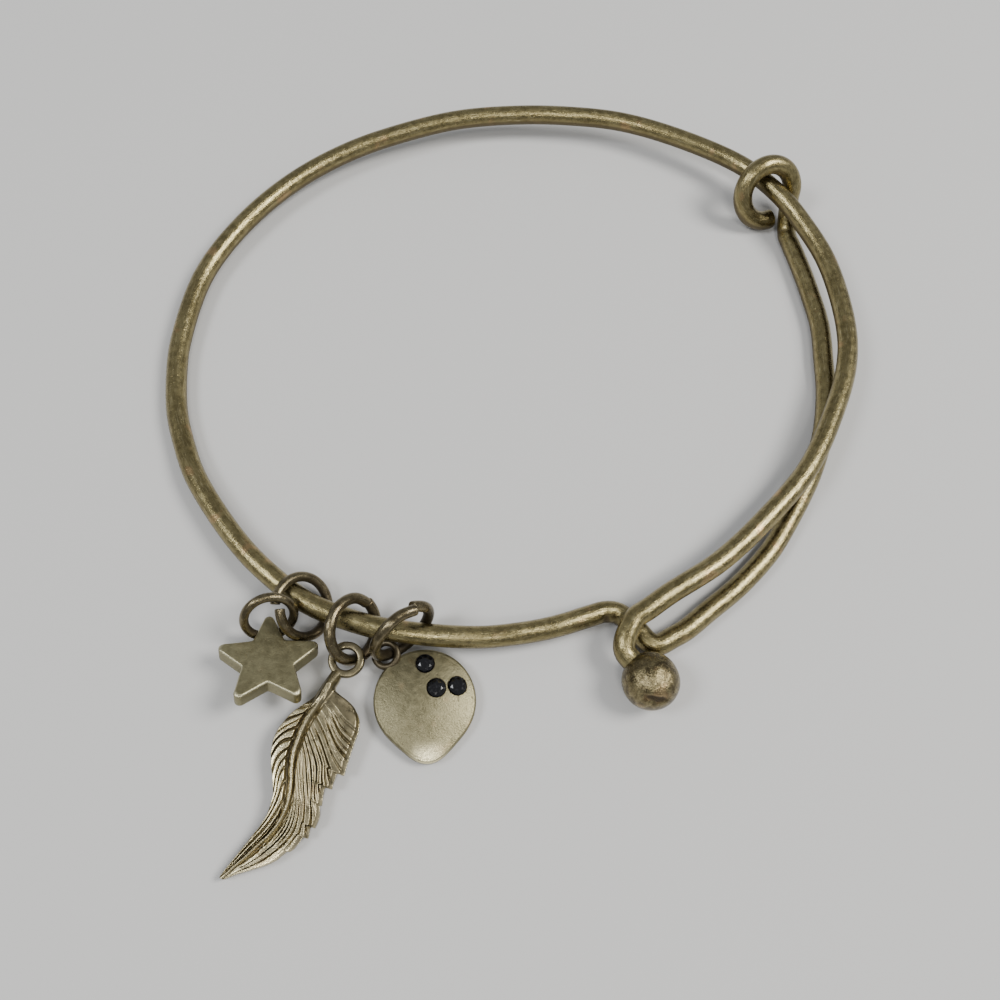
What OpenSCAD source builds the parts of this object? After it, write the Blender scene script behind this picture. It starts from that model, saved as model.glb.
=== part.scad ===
// Adjustable charm bangle: one wire bent into an oval, a ball on its hooked end, a V catch
// under the hook, a slide ring on its other end, and three charms on jump rings.
// It lies flat on a surface at Z = 0, with the oval's centre at the origin.

/* [Bangle wire] */
// Thickness of the bangle's wire
wire_d = 2.0; // [1.7:0.1:2.3]
// Clear width of the oval, left to right
inner_w = 63; // [57:0.5:69]
// Clear depth of the oval, front to back
inner_d = 57.5; // [52:0.5:63]
// Gap between two wires that cross
strand_gap = 0.2; // [0.1:0.05:0.4]

/* [Slide ring] */
// Clear width of the slide ring
slide_hole = 4.0; // [3.7:0.02:4.4]
// Lean of the slide ring from flat
slide_lean = 55.5; // [50:0.5:60]
// Gap between the slide ring's end and its stem
slide_end_gap = 0.25; // [0.15:0.05:0.5]

/* [Ball end] */
// Diameter of the ball
ball_d = 5.1; // [4.8:0.1:5.8]
// How far the wire reaches into the ball
ball_grip = 2.4; // [1.5:0.1:2.5]
// Gap round the wire inside the ball
ball_fit = 0.05; // [0.03:0.01:0.1]

/* [Jump rings] */
// Clear width of the large jump ring of the star
star_ring_large_hole = 4.4; // [4.2:0.05:4.8]
// Wire of the large jump ring of the star
star_ring_large_wire = 0.9; // [0.8:0.05:1]
// Clear width of the small jump ring of the star
star_ring_small_hole = 3.48; // [3.3:0.02:3.8]
// Wire of the small jump ring of the star
star_ring_small_wire = 0.8; // [0.7:0.05:0.9]
// Clear width of the jump ring of the feather
feather_ring_hole = 4.4; // [4.1:0.05:4.9]
// Wire of the jump ring of the feather
feather_ring_wire = 1.0; // [0.8:0.05:1.1]
// Clear width of the jump ring of the petal
petal_ring_hole = 4.8; // [4.5:0.05:5.3]
// Wire of the jump ring of the petal
petal_ring_wire = 1.0; // [0.8:0.05:1.1]
// Cut left open between the ends of a jump ring
ring_cut = 0.22; // [0.15:0.01:0.4]
// How far the large jump ring's ends are sprung apart
ring_spring = 0.73; // [0.4:0.01:0.9]

/* [Star charm] */
// Radius of the star at its tips, before they are rounded
star_r = 5.1; // [4.8:0.05:5.6]
// Radius of the star at its notches
star_notch_r = 2.3; // [2:0.05:2.6]
// Thickness of the star
star_t = 1.65; // [1.5:0.05:2]
// Rounding of the star's tips
star_round = 0.45; // [0.3:0.05:0.7]
// Bevel round the star's faces
star_bevel = 0.22; // [0.15:0.01:0.35]
// Hole through the star, from side to side
star_hole = 1.3; // [1.2:0.05:1.35]
// Metal between the star's hole and its tip
star_hole_cover = 0.85; // [0.7:0.05:1]

/* [Feather charm] */
// Length of the feather from its eye to its tip
feather_len = 19.9; // [17:0.1:23]
// Width of the feather across both vanes
feather_w = 6.8; // [5.5:0.1:8]
// Thickness of the feather's blade
feather_t = 0.9; // [0.7:0.05:1.2]
// Height of the feather's barbs
feather_relief = 0.28; // [0.1:0.02:0.4]
// Height of the feather's shaft
feather_shaft = 0.5; // [0.3:0.05:0.8]
// Clear width of the feather's eye
feather_eye_hole = 1.8; // [1.6:0.05:2.1]
// Wire of the feather's eye
feather_eye_wire = 0.7; // [0.6:0.05:0.9]

/* [Petal charm] */
// Radius of the petal's round part
petal_r = 4.45; // [4:0.05:5]
// How far the petal's tip runs past its round part
petal_point = 0.9; // [0.6:0.05:1.6]
// Thickness of the petal at its rim
petal_t = 1.15; // [0.95:0.05:1.4]
// Rise of the petal's dome above its rim
petal_dome = 0.55; // [0.3:0.05:0.9]
// Clear width of the loop on the petal's rim
petal_loop_hole = 1.5; // [1.4:0.05:1.65]
// Wire of the loop on the petal's rim
petal_loop_wire = 0.6; // [0.5:0.05:0.7]

/* [Stones] */
// Diameter of a stone
stone_d = 1.6; // [1.3:0.05:1.9]
// Depth of a stone below its girdle
stone_depth = 0.7; // [0.5:0.05:0.8]
// Height of a stone's crown above its girdle
stone_crown = 0.25; // [0.15:0.05:0.4]
// Gap between a stone and its seat
stone_gap = 0.06; // [0.04:0.01:0.12]

/* [Hidden] */
$fn = 48;
antique = [0.57, 0.51, 0.38];
dark_antique = [0.42, 0.36, 0.26];
jet = [0.05, 0.05, 0.06];

// The wire is swept with this many sides, in steps no longer and no more bent than these
wire_sides = 12;
wire_step = 2.4;
wire_bend = 17;

wire_r = wire_d / 2;
half_w = (inner_w + wire_d) / 2;
half_d = (inner_d + wire_d) / 2;
ball_r = ball_d / 2;
// Rise of a wire that crosses over another one
strand_rise = wire_d + strand_gap;
// Rise of the wire where the thickest jump ring passes under it
charm_rise = max(star_ring_large_wire, feather_ring_wire, petal_ring_wire) + 2 * strand_gap;

function unit(v) = v / norm(v);
function flat(v) = [v.x, v.y, 0];
function mid(a, b, share) = a + share * (b - a);
// Angle between two directions
function bend(u, v) = acos(min(1, unit(u) * unit(v)));
// Value of a table's column at x, between its rows
function between(rows, column, x, i = 0) =
    i >= len(rows) - 2 || x <= rows[i + 1][0]
    ? mid(rows[i][column], rows[i + 1][column], (x - rows[i][0]) / (rows[i + 1][0] - rows[i][0]))
    : between(rows, column, x, i + 1);

// Centripetal curve from b to c, with a and d as its neighbours
function knot(p, q) = sqrt(norm(q - p));
function blend(p, q, start, end, at) = ((end - at) * p + (at - start) * q) / (end - start);
function curve_point(a, b, c, d, share) =
    let (
        k1 = knot(a, b),
        k2 = k1 + knot(b, c),
        k3 = k2 + knot(c, d),
        at = mid(k1, k2, share),
        ab = blend(a, b, 0, k1, at),
        bc = blend(b, c, k1, k2, at),
        cd = blend(c, d, k2, k3, at)
    )
    blend(blend(ab, bc, 0, k2, at), blend(bc, cd, k1, k3, at), k1, k2, at);
function steps_between(a, b, c, d) =
    ceil(max(norm(c - b) / wire_step, max(bend(b - a, c - b), bend(c - b, d - c)) / wire_bend));
// Smooth line through all points but the first and the last, which only steer its ends
function curve(points) = [
    for (i = [1 : len(points) - 3])
        let (
            a = points[i - 1], b = points[i], c = points[i + 1], d = points[i + 2],
            steps = steps_between(a, b, c, d)
        )
        for (k = [0 : steps - 1]) curve_point(a, b, c, d, k / steps),
    points[len(points) - 2]
];
// The same points, led in and out along their first and last stretch
function led(points) =
    let (n = len(points))
    concat([2 * points[0] - points[1]], points, [2 * points[n - 1] - points[n - 2]]);

// Closed skin over a row of loops of points, each counter-clockwise seen from the last loop
module skin(loops) {
    rows = len(loops);
    sides = len(loops[0]);
    walls = [
        for (i = [0 : rows - 2], k = [0 : sides - 1])
            let (a = i * sides + k, b = i * sides + (k + 1) % sides)
            each [[a, a + sides, b + sides], [a, b + sides, b]]
    ];
    first = [for (k = [0 : sides - 1]) k];
    last = [for (k = [0 : sides - 1]) rows * sides - 1 - k];
    polyhedron(points = [for (loop = loops) each loop], faces = concat(walls, [first, last]));
}

// Round tube along a line of points
module tube(line, radius, sides) {
    count = len(line);
    skin([
        for (i = [0 : count - 1])
            let (
                along = unit(line[min(i + 1, count - 1)] - line[max(i - 1, 0)]),
                side = unit(cross(along, [0, 0, 1])),
                up = cross(side, along)
            )
            [
                for (k = [0 : sides - 1])
                    let (a = 360 * k / sides)
                    line[i] + radius * (sin(a) * side + cos(a) * up)
            ]
    ]);
}

// Point of the oval at a turn from +X, out by a share of its half axes
function oval(turn, reach, z) = [half_w * reach * cos(turn), half_d * reach * sin(turn), z];
// Height of the wire: one strand above another, or above a jump ring
function over_strand(share) = wire_r + share * strand_rise;
function over_ring(share) = wire_r + share * charm_rise;

// Clasp: places along and out from the oval, in wire thicknesses
clasp_turn = 289;
clasp_along = unit([-half_w * sin(clasp_turn), half_d * cos(clasp_turn), 0]);
clasp_out = [clasp_along.y, -clasp_along.x, 0];
function clasp(along, out, z) =
    flat(oval(clasp_turn, 1, 0)) + wire_d * (along * clasp_along + out * clasp_out) + [0, 0, z];

// The hook leads straight into the ball, which stands on the surface
hook_neck = clasp(-0.77, 1.63, ball_r);
hook_aim = unit(0.41 * clasp_along + 0.91 * clasp_out);
ball_centre = hook_neck + ball_r * hook_aim;

// Slide ring: a leaning ring that holds the other strand, its lowest side on the surface
slide_r = (slide_hole + wire_d) / 2;
slide_turn = 38;
slide_face = 20;
slide_hold = oval(slide_turn, 1.097, 0);
slide_rise = unit([
    -sin(slide_face) * cos(slide_lean), cos(slide_face) * cos(slide_lean), sin(slide_lean)
]);
slide_side = [cos(slide_face), sin(slide_face), 0];
// The strand crosses the ring askew, so it needs this much more room at the ring's side
slide_skew = 1.05;
slide_inset = slide_r - slide_skew * strand_rise;
slide_centre =
    slide_hold * (1 - slide_inset / norm(slide_hold))
    + [0, 0, wire_r + slide_r * sin(slide_lean)];
// Point of the slide ring, at an angle from its outer side towards its top
function slide_point(a) = slide_centre + slide_r * (cos(a) * slide_side + sin(a) * slide_rise);
// The ring starts where its stem joins it and stops short of the stem
slide_start = -24;
slide_stop = 284 - asin(slide_end_gap / slide_r);
slide_steps = 14;

// Upper strand: turn, reach, height in strands
UPPER = [
    [291.5, 0.987, 1.05], [296, 0.967, 1.05], [307, 0.954, 1.05], [319, 0.947, 1.05],
    [333, 0.968, 1.05], [346, 0.992, 1.03], [357.5, 1.032, 1], [6, 1.054, 1],
    [20, 1.083, 1.02], [29, 1.091, 1.12], [36, 1.095, 1.24], [45, 1.1, 1.1]
];
// Far side and left side: turn, reach, height in strands
FAR = [
    [57, 1.075, 0.93], [69, 1.045, 0.91], [80, 1.007, 0.91], [90, 0.985, 0.86],
    [101, 0.97, 0.82], [112, 0.958, 0.73], [124, 0.962, 0.59], [137, 0.97, 0.45],
    [151, 0.982, 0.32], [165, 1.002, 0.14], [180, 1.012, 0.04], [187, 1.019, 0],
    [195, 1.029, 0], [202, 1.034, 0.04]
];
// Near side, over the jump rings: turn, reach, height in rings
NEAR = [
    [209, 1.041, 0.28], [222, 1.052, 0.58], [230, 1.063, 0.78], [238.4, 1.07, 0.86],
    [247.6, 1.055, 1], [253, 1.04, 1.1], [258.5, 1.024, 1], [265, 1.006, 0.77],
    [270, 0.99, 0.69], [274, 0.977, 0.54], [278, 0.964, 0.46], [282.5, 0.949, 0.33]
];
// Catch under the hook: along, out, height in rings
CATCH = [
    [-0.95, -0.86, 0.23], [-0.43, -0.67, 0.15], [0.01, -0.11, 0.08], [0.23, 0.4, 0.04],
    [0.44, 0.9, 0.04], [0.6, 1.1, 0.04], [0.83, 1.22, 0.03], [1.08, 1.22, 0.02], [1.62, 1.1, 0]
];
// Lower strand, back to the slide ring: turn, reach
LOWER = [
    [296.4, 1.073], [302, 1.051], [308.4, 1.038], [316.5, 1.022], [321.7, 1.009],
    [334.6, 0.994], [344.6, 0.991], [353.7, 0.989], [0, 0.989], [9, 1.006],
    [17.5, 1.021], [24, 1.042], [28.5, 1.062], [30.5, 1.075]
];
// Hook, from the upper strand to the neck: along, out, share of the way down to the ball
HOOK = [
    [0.04, -0.02, 0.05], [-0.37, 0.33, 0.2], [-0.72, 0.73, 0.45], [-0.89, 1.1, 0.72],
    [-0.88, 1.37, 0.92]
];
wire_line = curve(led(concat(
    [hook_neck + ball_grip * hook_aim, hook_neck],
    [
        for (i = [len(HOOK) - 1 : -1 : 0])
            clasp(
                HOOK[i][0], HOOK[i][1], mid(over_strand(UPPER[0][2]), ball_r, HOOK[i][2])
            )
    ],
    [for (row = UPPER) oval(row[0], row[1], over_strand(row[2]))],
    [for (row = FAR) oval(row[0], row[1], over_strand(row[2]))],
    [for (row = NEAR) oval(row[0], row[1], over_ring(row[2]))],
    [for (row = CATCH) clasp(row[0], row[1], over_ring(row[2]))],
    [for (row = LOWER) oval(row[0], row[1], wire_r)],
    [for (i = [0 : slide_steps]) slide_point(mid(slide_start, slide_stop, i / slide_steps))]
)));

module bangle_wire() {
    color(antique) tube(wire_line, wire_r, wire_sides);
}

// Turn children so that their Z axis runs along a direction from a place
module aim(at, along) {
    translate(at) rotate([0, acos(along.z), atan2(along.y, along.x)]) children();
}

module end_ball() {
    color(antique)
        difference() {
            translate(ball_centre) sphere(ball_r);
            aim(hook_neck, hook_aim)
                translate([0, 0, -wire_d])
                    cylinder(h = wire_d + ball_grip + ball_fit, r = wire_r + ball_fit);
        }
}

// Way from a jump ring's centre to its point at an angle from its lowest one
function ring_way(lean, face, a) =
    cos(a) * [cos(face) * cos(lean), sin(face) * cos(lean), -sin(lean)]
    + sin(a) * [-sin(face), cos(face), 0];
// Centre of a jump ring that stands on the surface, with a wire through it at a place
function ring_centre(wire_at, hole, wire, lean, face, swing, slack) =
    flat(wire_at - slack * (hole / 2 - wire_r) * ring_way(lean, face, swing))
    + [0, 0, wire / 2 + (hole + wire) / 2 * sin(lean)];

// Flat ring of round wire, cut through at an angle from its lowest point
module jump_ring(centre, hole, wire, lean, face, cut_at) {
    mean_r = (hole + wire) / 2;
    cut_turn = 2 * asin(ring_cut / 2 / mean_r);
    color(dark_antique)
        translate(centre)
            rotate([0, lean, face])
                rotate([0, 0, cut_at + cut_turn / 2])
                    rotate_extrude(angle = 360 - cut_turn)
                        translate([mean_r, 0]) circle(d = wire);
}

// Large jump ring of the star, round the oval's wire: its cut ends are sprung apart
large_lean = 43.7;
large_face = -16;
large_cut = 204;
large_sides = 10;
large_steps = 36;
large_r = (star_ring_large_hole + star_ring_large_wire) / 2;
large_centre = ring_centre(
    oval(238, 1.07, 0), star_ring_large_hole, star_ring_large_wire, large_lean, large_face,
    swing = 64, slack = 0.45
);
large_axis = cross(ring_way(large_lean, large_face, 0), ring_way(large_lean, large_face, 90));
// Its cut is this much wider than the other rings' cuts
large_cut_room = 0.15;
module star_ring_large() {
    half_cut = asin((ring_cut + large_cut_room) / 2 / large_r);
    color(dark_antique)
        tube([
            for (i = [0 : large_steps])
                let (
                    share = i / large_steps,
                    a = large_cut + mid(half_cut, 360 - half_cut, share)
                )
                large_centre + large_r * ring_way(large_lean, large_face, a)
                + ring_spring * (0.5 - share) * large_axis
        ], star_ring_large_wire / 2, large_sides);
}

// Small jump ring of the star, which the large one's cut ends reach into
small_lean = 58.5;
small_face = -68.7;
// Where the large ring lies inside it, and how close to its wire, as a share
small_held = 129.6;
small_slack = 0.95;
small_r = (star_ring_small_hole + star_ring_small_wire) / 2;
small_centre =
    large_centre + large_r * ring_way(large_lean, large_face, large_cut)
    - small_slack * (star_ring_small_hole - star_ring_large_wire) / 2
        * ring_way(small_lean, small_face, small_held);
module star_ring_small() {
    jump_ring(
        small_centre, star_ring_small_hole, star_ring_small_wire, small_lean, small_face,
        cut_at = -12
    );
}

// Star: its holed tip hangs low on the small ring and its two lower tips stand up
star_pose = [-17.5, 6, 4.6];
star_points = 5;
star_hang = -15;
// Half angle of a star's tip, and its reach once rounded
star_half = atan(
    star_notch_r * sin(180 / star_points) / (star_r - star_notch_r * cos(180 / star_points))
);
star_tip_r = star_r - star_round * (1 / sin(star_half) - 1);
star_hole_reach = star_tip_r - star_hole_cover - star_hole / 2;
// Half of the star's width at its hole, and how far the ring bows across it
star_hole_half = (star_r - star_hole_reach) * tan(star_half);
star_bow = small_r - sqrt(small_r * small_r - star_hole_half * star_hole_half);
star_hole_at = small_centre + (small_r - star_bow / 2) * ring_way(small_lean, small_face, star_hang);
star_hole_along = ring_way(small_lean, small_face, star_hang + 90);

// Points of a rounded corner at p, between the corners a and b
function rounded(a, p, b, radius, steps) =
    let (
        to_a = unit(a - p), to_b = unit(b - p), half = bend(to_a, to_b) / 2,
        centre = p + radius / sin(half) * unit(to_a + to_b),
        from = p + radius / tan(half) * to_a - centre,
        to = p + radius / tan(half) * to_b - centre
    )
    [for (i = [0 : steps]) centre + radius * unit(mid(from, to, i / steps))];
function star_corner(i) =
    let (a = 90 + 180 * i / star_points, r = i % 2 == 0 ? star_r : star_notch_r)
    r * [cos(a), sin(a)];
star_outline = [
    for (i = [0 : 2 * star_points - 1])
        each rounded(
            star_corner(i - 1), star_corner(i), star_corner(i + 1),
            i % 2 == 0 ? star_round : star_round / 2, i % 2 == 0 ? 6 : 2
        )
];
function at_height(points, share, z) = [for (p = points) [share * p.x, share * p.y, z]];
module star_charm() {
    face_share = 1 - star_bevel / star_notch_r;
    color(antique)
        difference() {
            translate(star_hole_at) rotate(star_pose)
                translate([0, -star_hole_reach, -star_t / 2])
                    skin([
                        at_height(star_outline, face_share, 0),
                        at_height(star_outline, 1, star_bevel),
                        at_height(star_outline, 1, star_t - star_bevel),
                        at_height(star_outline, face_share, star_t)
                    ]);
            aim(star_hole_at, star_hole_along)
                cylinder(h = star_r, d = star_hole, center = true);
        }
}

// Jump ring of the feather, round the oval's wire
feather_lean = 51;
feather_face = -20;
feather_ring_r = (feather_ring_hole + feather_ring_wire) / 2;
feather_centre = ring_centre(
    oval(246.4, 1.058, 0), feather_ring_hole, feather_ring_wire, feather_lean, feather_face,
    swing = 66, slack = 0.66
);
module feather_ring() {
    jump_ring(
        feather_centre, feather_ring_hole, feather_ring_wire, feather_lean, feather_face,
        cut_at = 86
    );
}

// Feather: its eye hangs on the jump ring and its tip rests on the surface
feather_hang = -75;
feather_aim = -117;
feather_at = feather_centre + feather_ring_r * ring_way(feather_lean, feather_face, feather_hang);
feather_drop = asin((feather_at.z - feather_t / 2) / feather_len);
feather_eye_r = (feather_eye_hole + feather_eye_wire) / 2;
// Along the feather in lengths; shaft, left and right edge off its middle in widths
FEATHER = [
    [0.06, -0.05, -0.1, 0], [0.1, -0.09, -0.15, -0.02], [0.14, -0.13, -0.18, 0.28],
    [0.18, -0.15, -0.2, 0.48],
    [0.26, -0.12, -0.28, 0.56], [0.366, -0.075, -0.36, 0.64], [0.42, -0.03, -0.355, 0.685],
    [0.45, 0, -0.315, 0.65], [0.46, 0.01, -0.31, 0.57], [0.532, 0.12, -0.16, 0.64],
    [0.631, 0.27, 0.03, 0.68], [0.718, 0.255, 0.065, 0.645], [0.816, 0.185, 0.025, 0.51],
    [0.92, 0.075, -0.005, 0.235], [1, 0, -0.03, 0.03]
];
feather_rows = 46;
// How far the barbs' ends lie ahead of their roots, in lengths
feather_lead = 0.11;
// The relief fades to this share at the tip, this many times faster than the blade runs out
feather_tip_fade = 0.25;
feather_fade = 6;
// The stem starts inside the eye at this share of its height, and reaches all of it in
// this many rows
feather_root = 0.35;
feather_root_rows = 3;
// Across the blade's top from its right edge to its left: share of the way out, height
// of the shaft, height of the barbs
FEATHER_TOP = [
    [1, 0, -0.8], [0.8, 0, 0.3], [0.45, 0, 1], [0.12, 0.1, 1], [0, 1, 0],
    [-0.2, 0.1, 1], [-0.65, 0, 1], [-1, 0, -0.8]
];
// Across its underside from its left edge to its right: share of the way out, lift
FEATHER_UNDER = [[-1, 0.12], [-0.5, 0], [0.5, 0], [1, 0.12]];
// Point of row i at a share of the way out, at a height
function feather_point(i, out, z) =
    let (
        s = mid(FEATHER[0][0], 1, i / feather_rows),
        x = s + feather_lead * sin(180 * i / feather_rows) * abs(out),
        y = mid(between(FEATHER, 1, s), between(FEATHER, out > 0 ? 3 : 2, x), abs(out))
    )
    [x * feather_len, y * feather_w, z];
function feather_loop(i) =
    let (
        root = mid(feather_root, 1, min(1, i / feather_root_rows)),
        fade = min(1, feather_fade * (1 - i / feather_rows) + feather_tip_fade),
        ridge = i % 2 == 0 ? feather_relief : 0
    )
    concat(
        [
            for (row = FEATHER_TOP)
                let (rise = fade * (row[1] * feather_shaft + row[2] * ridge))
                feather_point(i, row[0], root * (feather_t / 2 + rise))
        ],
        [for (row = FEATHER_UNDER) feather_point(i, row[0], root * (row[1] - feather_t / 2))]
    );
// Flat eye with bevelled edges, cast in one with the stem
feather_eye_bevel = 0.2;
module feather_eye() {
    half = feather_eye_wire / 2;
    flat_half = half - feather_eye_bevel;
    rotate_extrude()
        translate([feather_eye_r, 0])
            polygon([
                [-half, -flat_half], [-flat_half, -half], [flat_half, -half], [half, -flat_half],
                [half, flat_half], [flat_half, half], [-flat_half, half], [-half, flat_half]
            ]);
}
module feather_charm() {
    color(antique)
        translate(feather_at)
            rotate([0, feather_drop, feather_aim]) {
                skin([for (i = [0 : feather_rows]) feather_loop(i)]);
                feather_eye();
            }
}

// Jump ring of the petal, standing steeply round the oval's wire
petal_ring_lean = 80;
petal_ring_face = -50;
petal_ring_r = (petal_ring_hole + petal_ring_wire) / 2;
petal_ring_centre = ring_centre(
    oval(253.3, 1.042, 0), petal_ring_hole, petal_ring_wire, petal_ring_lean, petal_ring_face,
    swing = 25.6, slack = 0.35
);
module petal_ring() {
    jump_ring(
        petal_ring_centre, petal_ring_hole, petal_ring_wire, petal_ring_lean, petal_ring_face,
        cut_at = 146
    );
}

// Petal: the loop on its rim hangs on the jump ring and its far side rests on the surface
petal_hang = -46;
petal_aim = -48;
petal_at = petal_ring_centre
    + petal_ring_r * ring_way(petal_ring_lean, petal_ring_face, petal_hang);
petal_loop_r = (petal_loop_hole + petal_loop_wire) / 2;
// The loop turns about half way to the ring that passes through it
petal_loop_turn = 0.8;
petal_loop_axis = unit(
    [0, 0, 1] - petal_loop_turn * ring_way(petal_ring_lean, petal_ring_face, petal_hang + 90)
);
// The loop clears the rim and sits a little above the middle of its thickness
petal_loop_clear = 0.05;
petal_reach = petal_r + petal_loop_hole / 2 + petal_loop_clear;
petal_loop_lift = 0.3;
petal_drop = asin((petal_at.z - petal_loop_lift - petal_t / 2) / (petal_reach + petal_r));
petal_tip = -37;
petal_sides = 32;
petal_bevel = 0.3;
// How sharply the round part runs out into the tip
petal_power = 11;
// Girdle of a stone below the petal's top
stone_sink = 0.12;
// Stones: reach in petal radii, turn from the line through the loop
STONES = [[0.7, 140], [0.3, 95], [0.675, 72]];
function petal_edge(a) = petal_r + petal_point * pow(max(0, cos(a - petal_tip)), petal_power);
function petal_loop(share, inset, z) = [
    for (k = [0 : petal_sides - 1])
        let (a = petal_tip + 360 * k / petal_sides, r = share * (petal_edge(a) - inset))
        [r * cos(a), r * sin(a), z]
];
// Height of the petal's top at a share of its radius
function petal_top(share) = petal_t + petal_dome * (1 - share * share);
// A stone's girdle, in the petal's own place
function stone_at(i) =
    let (row = STONES[i])
    [row[0] * petal_r * cos(row[1]), row[0] * petal_r * sin(row[1]), petal_top(row[0]) - stone_sink];
module petal_place() {
    translate(petal_at)
        rotate([0, petal_drop, petal_aim])
            translate([petal_reach, 0, -petal_loop_lift - petal_t / 2]) children();
}
module petal_charm() {
    color(antique) {
        petal_place()
            difference() {
                skin([
                    petal_loop(1, petal_bevel, 0),
                    petal_loop(1, 0, petal_bevel),
                    petal_loop(1, 0, petal_t - petal_bevel),
                    petal_loop(1, petal_bevel, petal_t),
                    for (share = [0.85, 0.65, 0.4, 0.15])
                        petal_loop(share, petal_bevel, petal_top(share))
                ]);
                for (i = [0 : len(STONES) - 1])
                    translate(stone_at(i) - [0, 0, stone_depth + stone_gap])
                        cylinder(h = stone_depth + petal_dome, d = stone_d + 2 * stone_gap);
            }
        aim(petal_at, petal_loop_axis)
            rotate_extrude() translate([petal_loop_r, 0]) circle(d = petal_loop_wire);
    }
}

// Cut stone: pointed below, a thin girdle, eight crown facets and a flat table
stone_sides = 8;
stone_girdle = 0.08;
// Width of the lower point and of the table, as shares of the stone's width
stone_tip = 0.08;
stone_table = 0.6;
function stone_loop(share, z) = [
    for (k = [0 : stone_sides - 1])
        let (a = 360 * k / stone_sides)
        [share * stone_d / 2 * cos(a), share * stone_d / 2 * sin(a), z]
];
module stone(i) {
    color(jet)
        petal_place()
            translate(stone_at(i))
                skin([
                    stone_loop(stone_tip, -stone_depth), stone_loop(1, 0),
                    stone_loop(1, stone_girdle),
                    stone_loop(stone_table, stone_girdle + stone_crown)
                ]);
}

bangle_wire();
end_ball();
star_ring_large();
star_ring_small();
star_charm();
feather_ring();
feather_charm();
petal_ring();
petal_charm();
stone(0);  // stone_1
stone(1);  // stone_2
stone(2);  // stone_3
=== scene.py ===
"""Charm bangle of antique brass wire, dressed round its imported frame.

Lengths inside the classes are millimetres in the part's own frame: +Z up from the surface, the
oval's centre at the origin. Meshes are written in metres.
"""

import logging
import math
from dataclasses import dataclass, field
from enum import Enum
from typing import Sequence

import bmesh
import bpy
import numpy as np
from mathutils import Matrix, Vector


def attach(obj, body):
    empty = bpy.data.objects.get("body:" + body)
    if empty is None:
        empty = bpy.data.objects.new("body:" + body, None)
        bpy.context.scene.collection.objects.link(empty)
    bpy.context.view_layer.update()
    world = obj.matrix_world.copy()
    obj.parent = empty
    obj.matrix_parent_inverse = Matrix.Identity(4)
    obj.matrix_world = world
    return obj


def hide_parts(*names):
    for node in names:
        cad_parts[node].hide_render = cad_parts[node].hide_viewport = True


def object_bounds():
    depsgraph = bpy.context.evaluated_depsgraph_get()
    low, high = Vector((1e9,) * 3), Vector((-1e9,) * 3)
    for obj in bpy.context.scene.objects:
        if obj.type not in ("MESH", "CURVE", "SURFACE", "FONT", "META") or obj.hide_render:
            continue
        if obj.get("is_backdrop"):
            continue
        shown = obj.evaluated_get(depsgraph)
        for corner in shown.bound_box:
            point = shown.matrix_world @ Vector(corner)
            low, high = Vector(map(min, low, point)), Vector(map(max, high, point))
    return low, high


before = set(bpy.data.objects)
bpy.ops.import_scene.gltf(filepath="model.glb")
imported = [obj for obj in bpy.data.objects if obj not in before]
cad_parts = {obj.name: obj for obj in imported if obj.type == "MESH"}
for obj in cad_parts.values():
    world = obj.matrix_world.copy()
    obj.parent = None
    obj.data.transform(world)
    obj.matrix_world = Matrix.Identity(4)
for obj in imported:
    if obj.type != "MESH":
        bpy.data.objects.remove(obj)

CAD_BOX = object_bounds()
LOG = logging.getLogger("bangle")
MM = 0.001
Array = np.ndarray
Colour = tuple[float, float, float]
Vector3 = tuple[float, float, float]


class Slot(Enum):
    """Material slots of the part."""

    ANTIQUE = "antique_brass"
    DARK = "dark_brass"
    SATIN = "satin_brass"
    PALE = "pale_brass"
    JET = "jet"


class Grain(Enum):
    """What the fine lines of a finish run along."""

    ALONG = "grain"
    NONE = "none"


# Small geometry tools


def unit(v: Array) -> Array:
    """Return v, or each row of v, at length one."""
    return v / np.linalg.norm(v, axis=-1, keepdims=True)


def smooth(low: float, high: float, x: Array) -> Array:
    """Return 0 below low, 1 above high and a smooth step between them."""
    t = np.clip((x - low) / (high - low), 0, 1)
    return t * t * (3 - 2 * t)


def bell(*away: Array, power: float = 2) -> Array:
    """Return 1 where every distance is 0, falling off smoothly to nothing past 1."""
    return np.exp(-sum(x**power for x in away))


def turns(count: int) -> Array:
    """Return so many even angles round a circle."""
    return np.linspace(0, 2 * np.pi, count, endpoint=False)


def spread(*parts: Array) -> Array:
    """Return vectors from their parts, each part stretched to the others' shape."""
    return np.stack(np.broadcast_arrays(*parts), axis=-1)


def column(rows: Sequence[Sequence[float]], index: int, x: Array) -> Array:
    """Read a smooth curve through one column of a table.

    Args:
        rows: Table whose first column grows.
        index: Column to read.
        x: Places along the first column.

    Returns:
        The column's value at each place.
    """
    table = np.array(rows, float)
    at, value = table[:, 0], table[:, index]
    slope = np.gradient(value, at)
    i = np.clip(np.searchsorted(at, x) - 1, 0, len(at) - 2)
    span = at[i + 1] - at[i]
    t = np.clip((x - at[i]) / span, 0, 1)
    return (
        value[i] * (1 + 2 * t) * (1 - t) ** 2
        + value[i + 1] * t * t * (3 - 2 * t)
        + span * (slope[i] * t * (1 - t) ** 2 + slope[i + 1] * t * t * (t - 1))
    )


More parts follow.
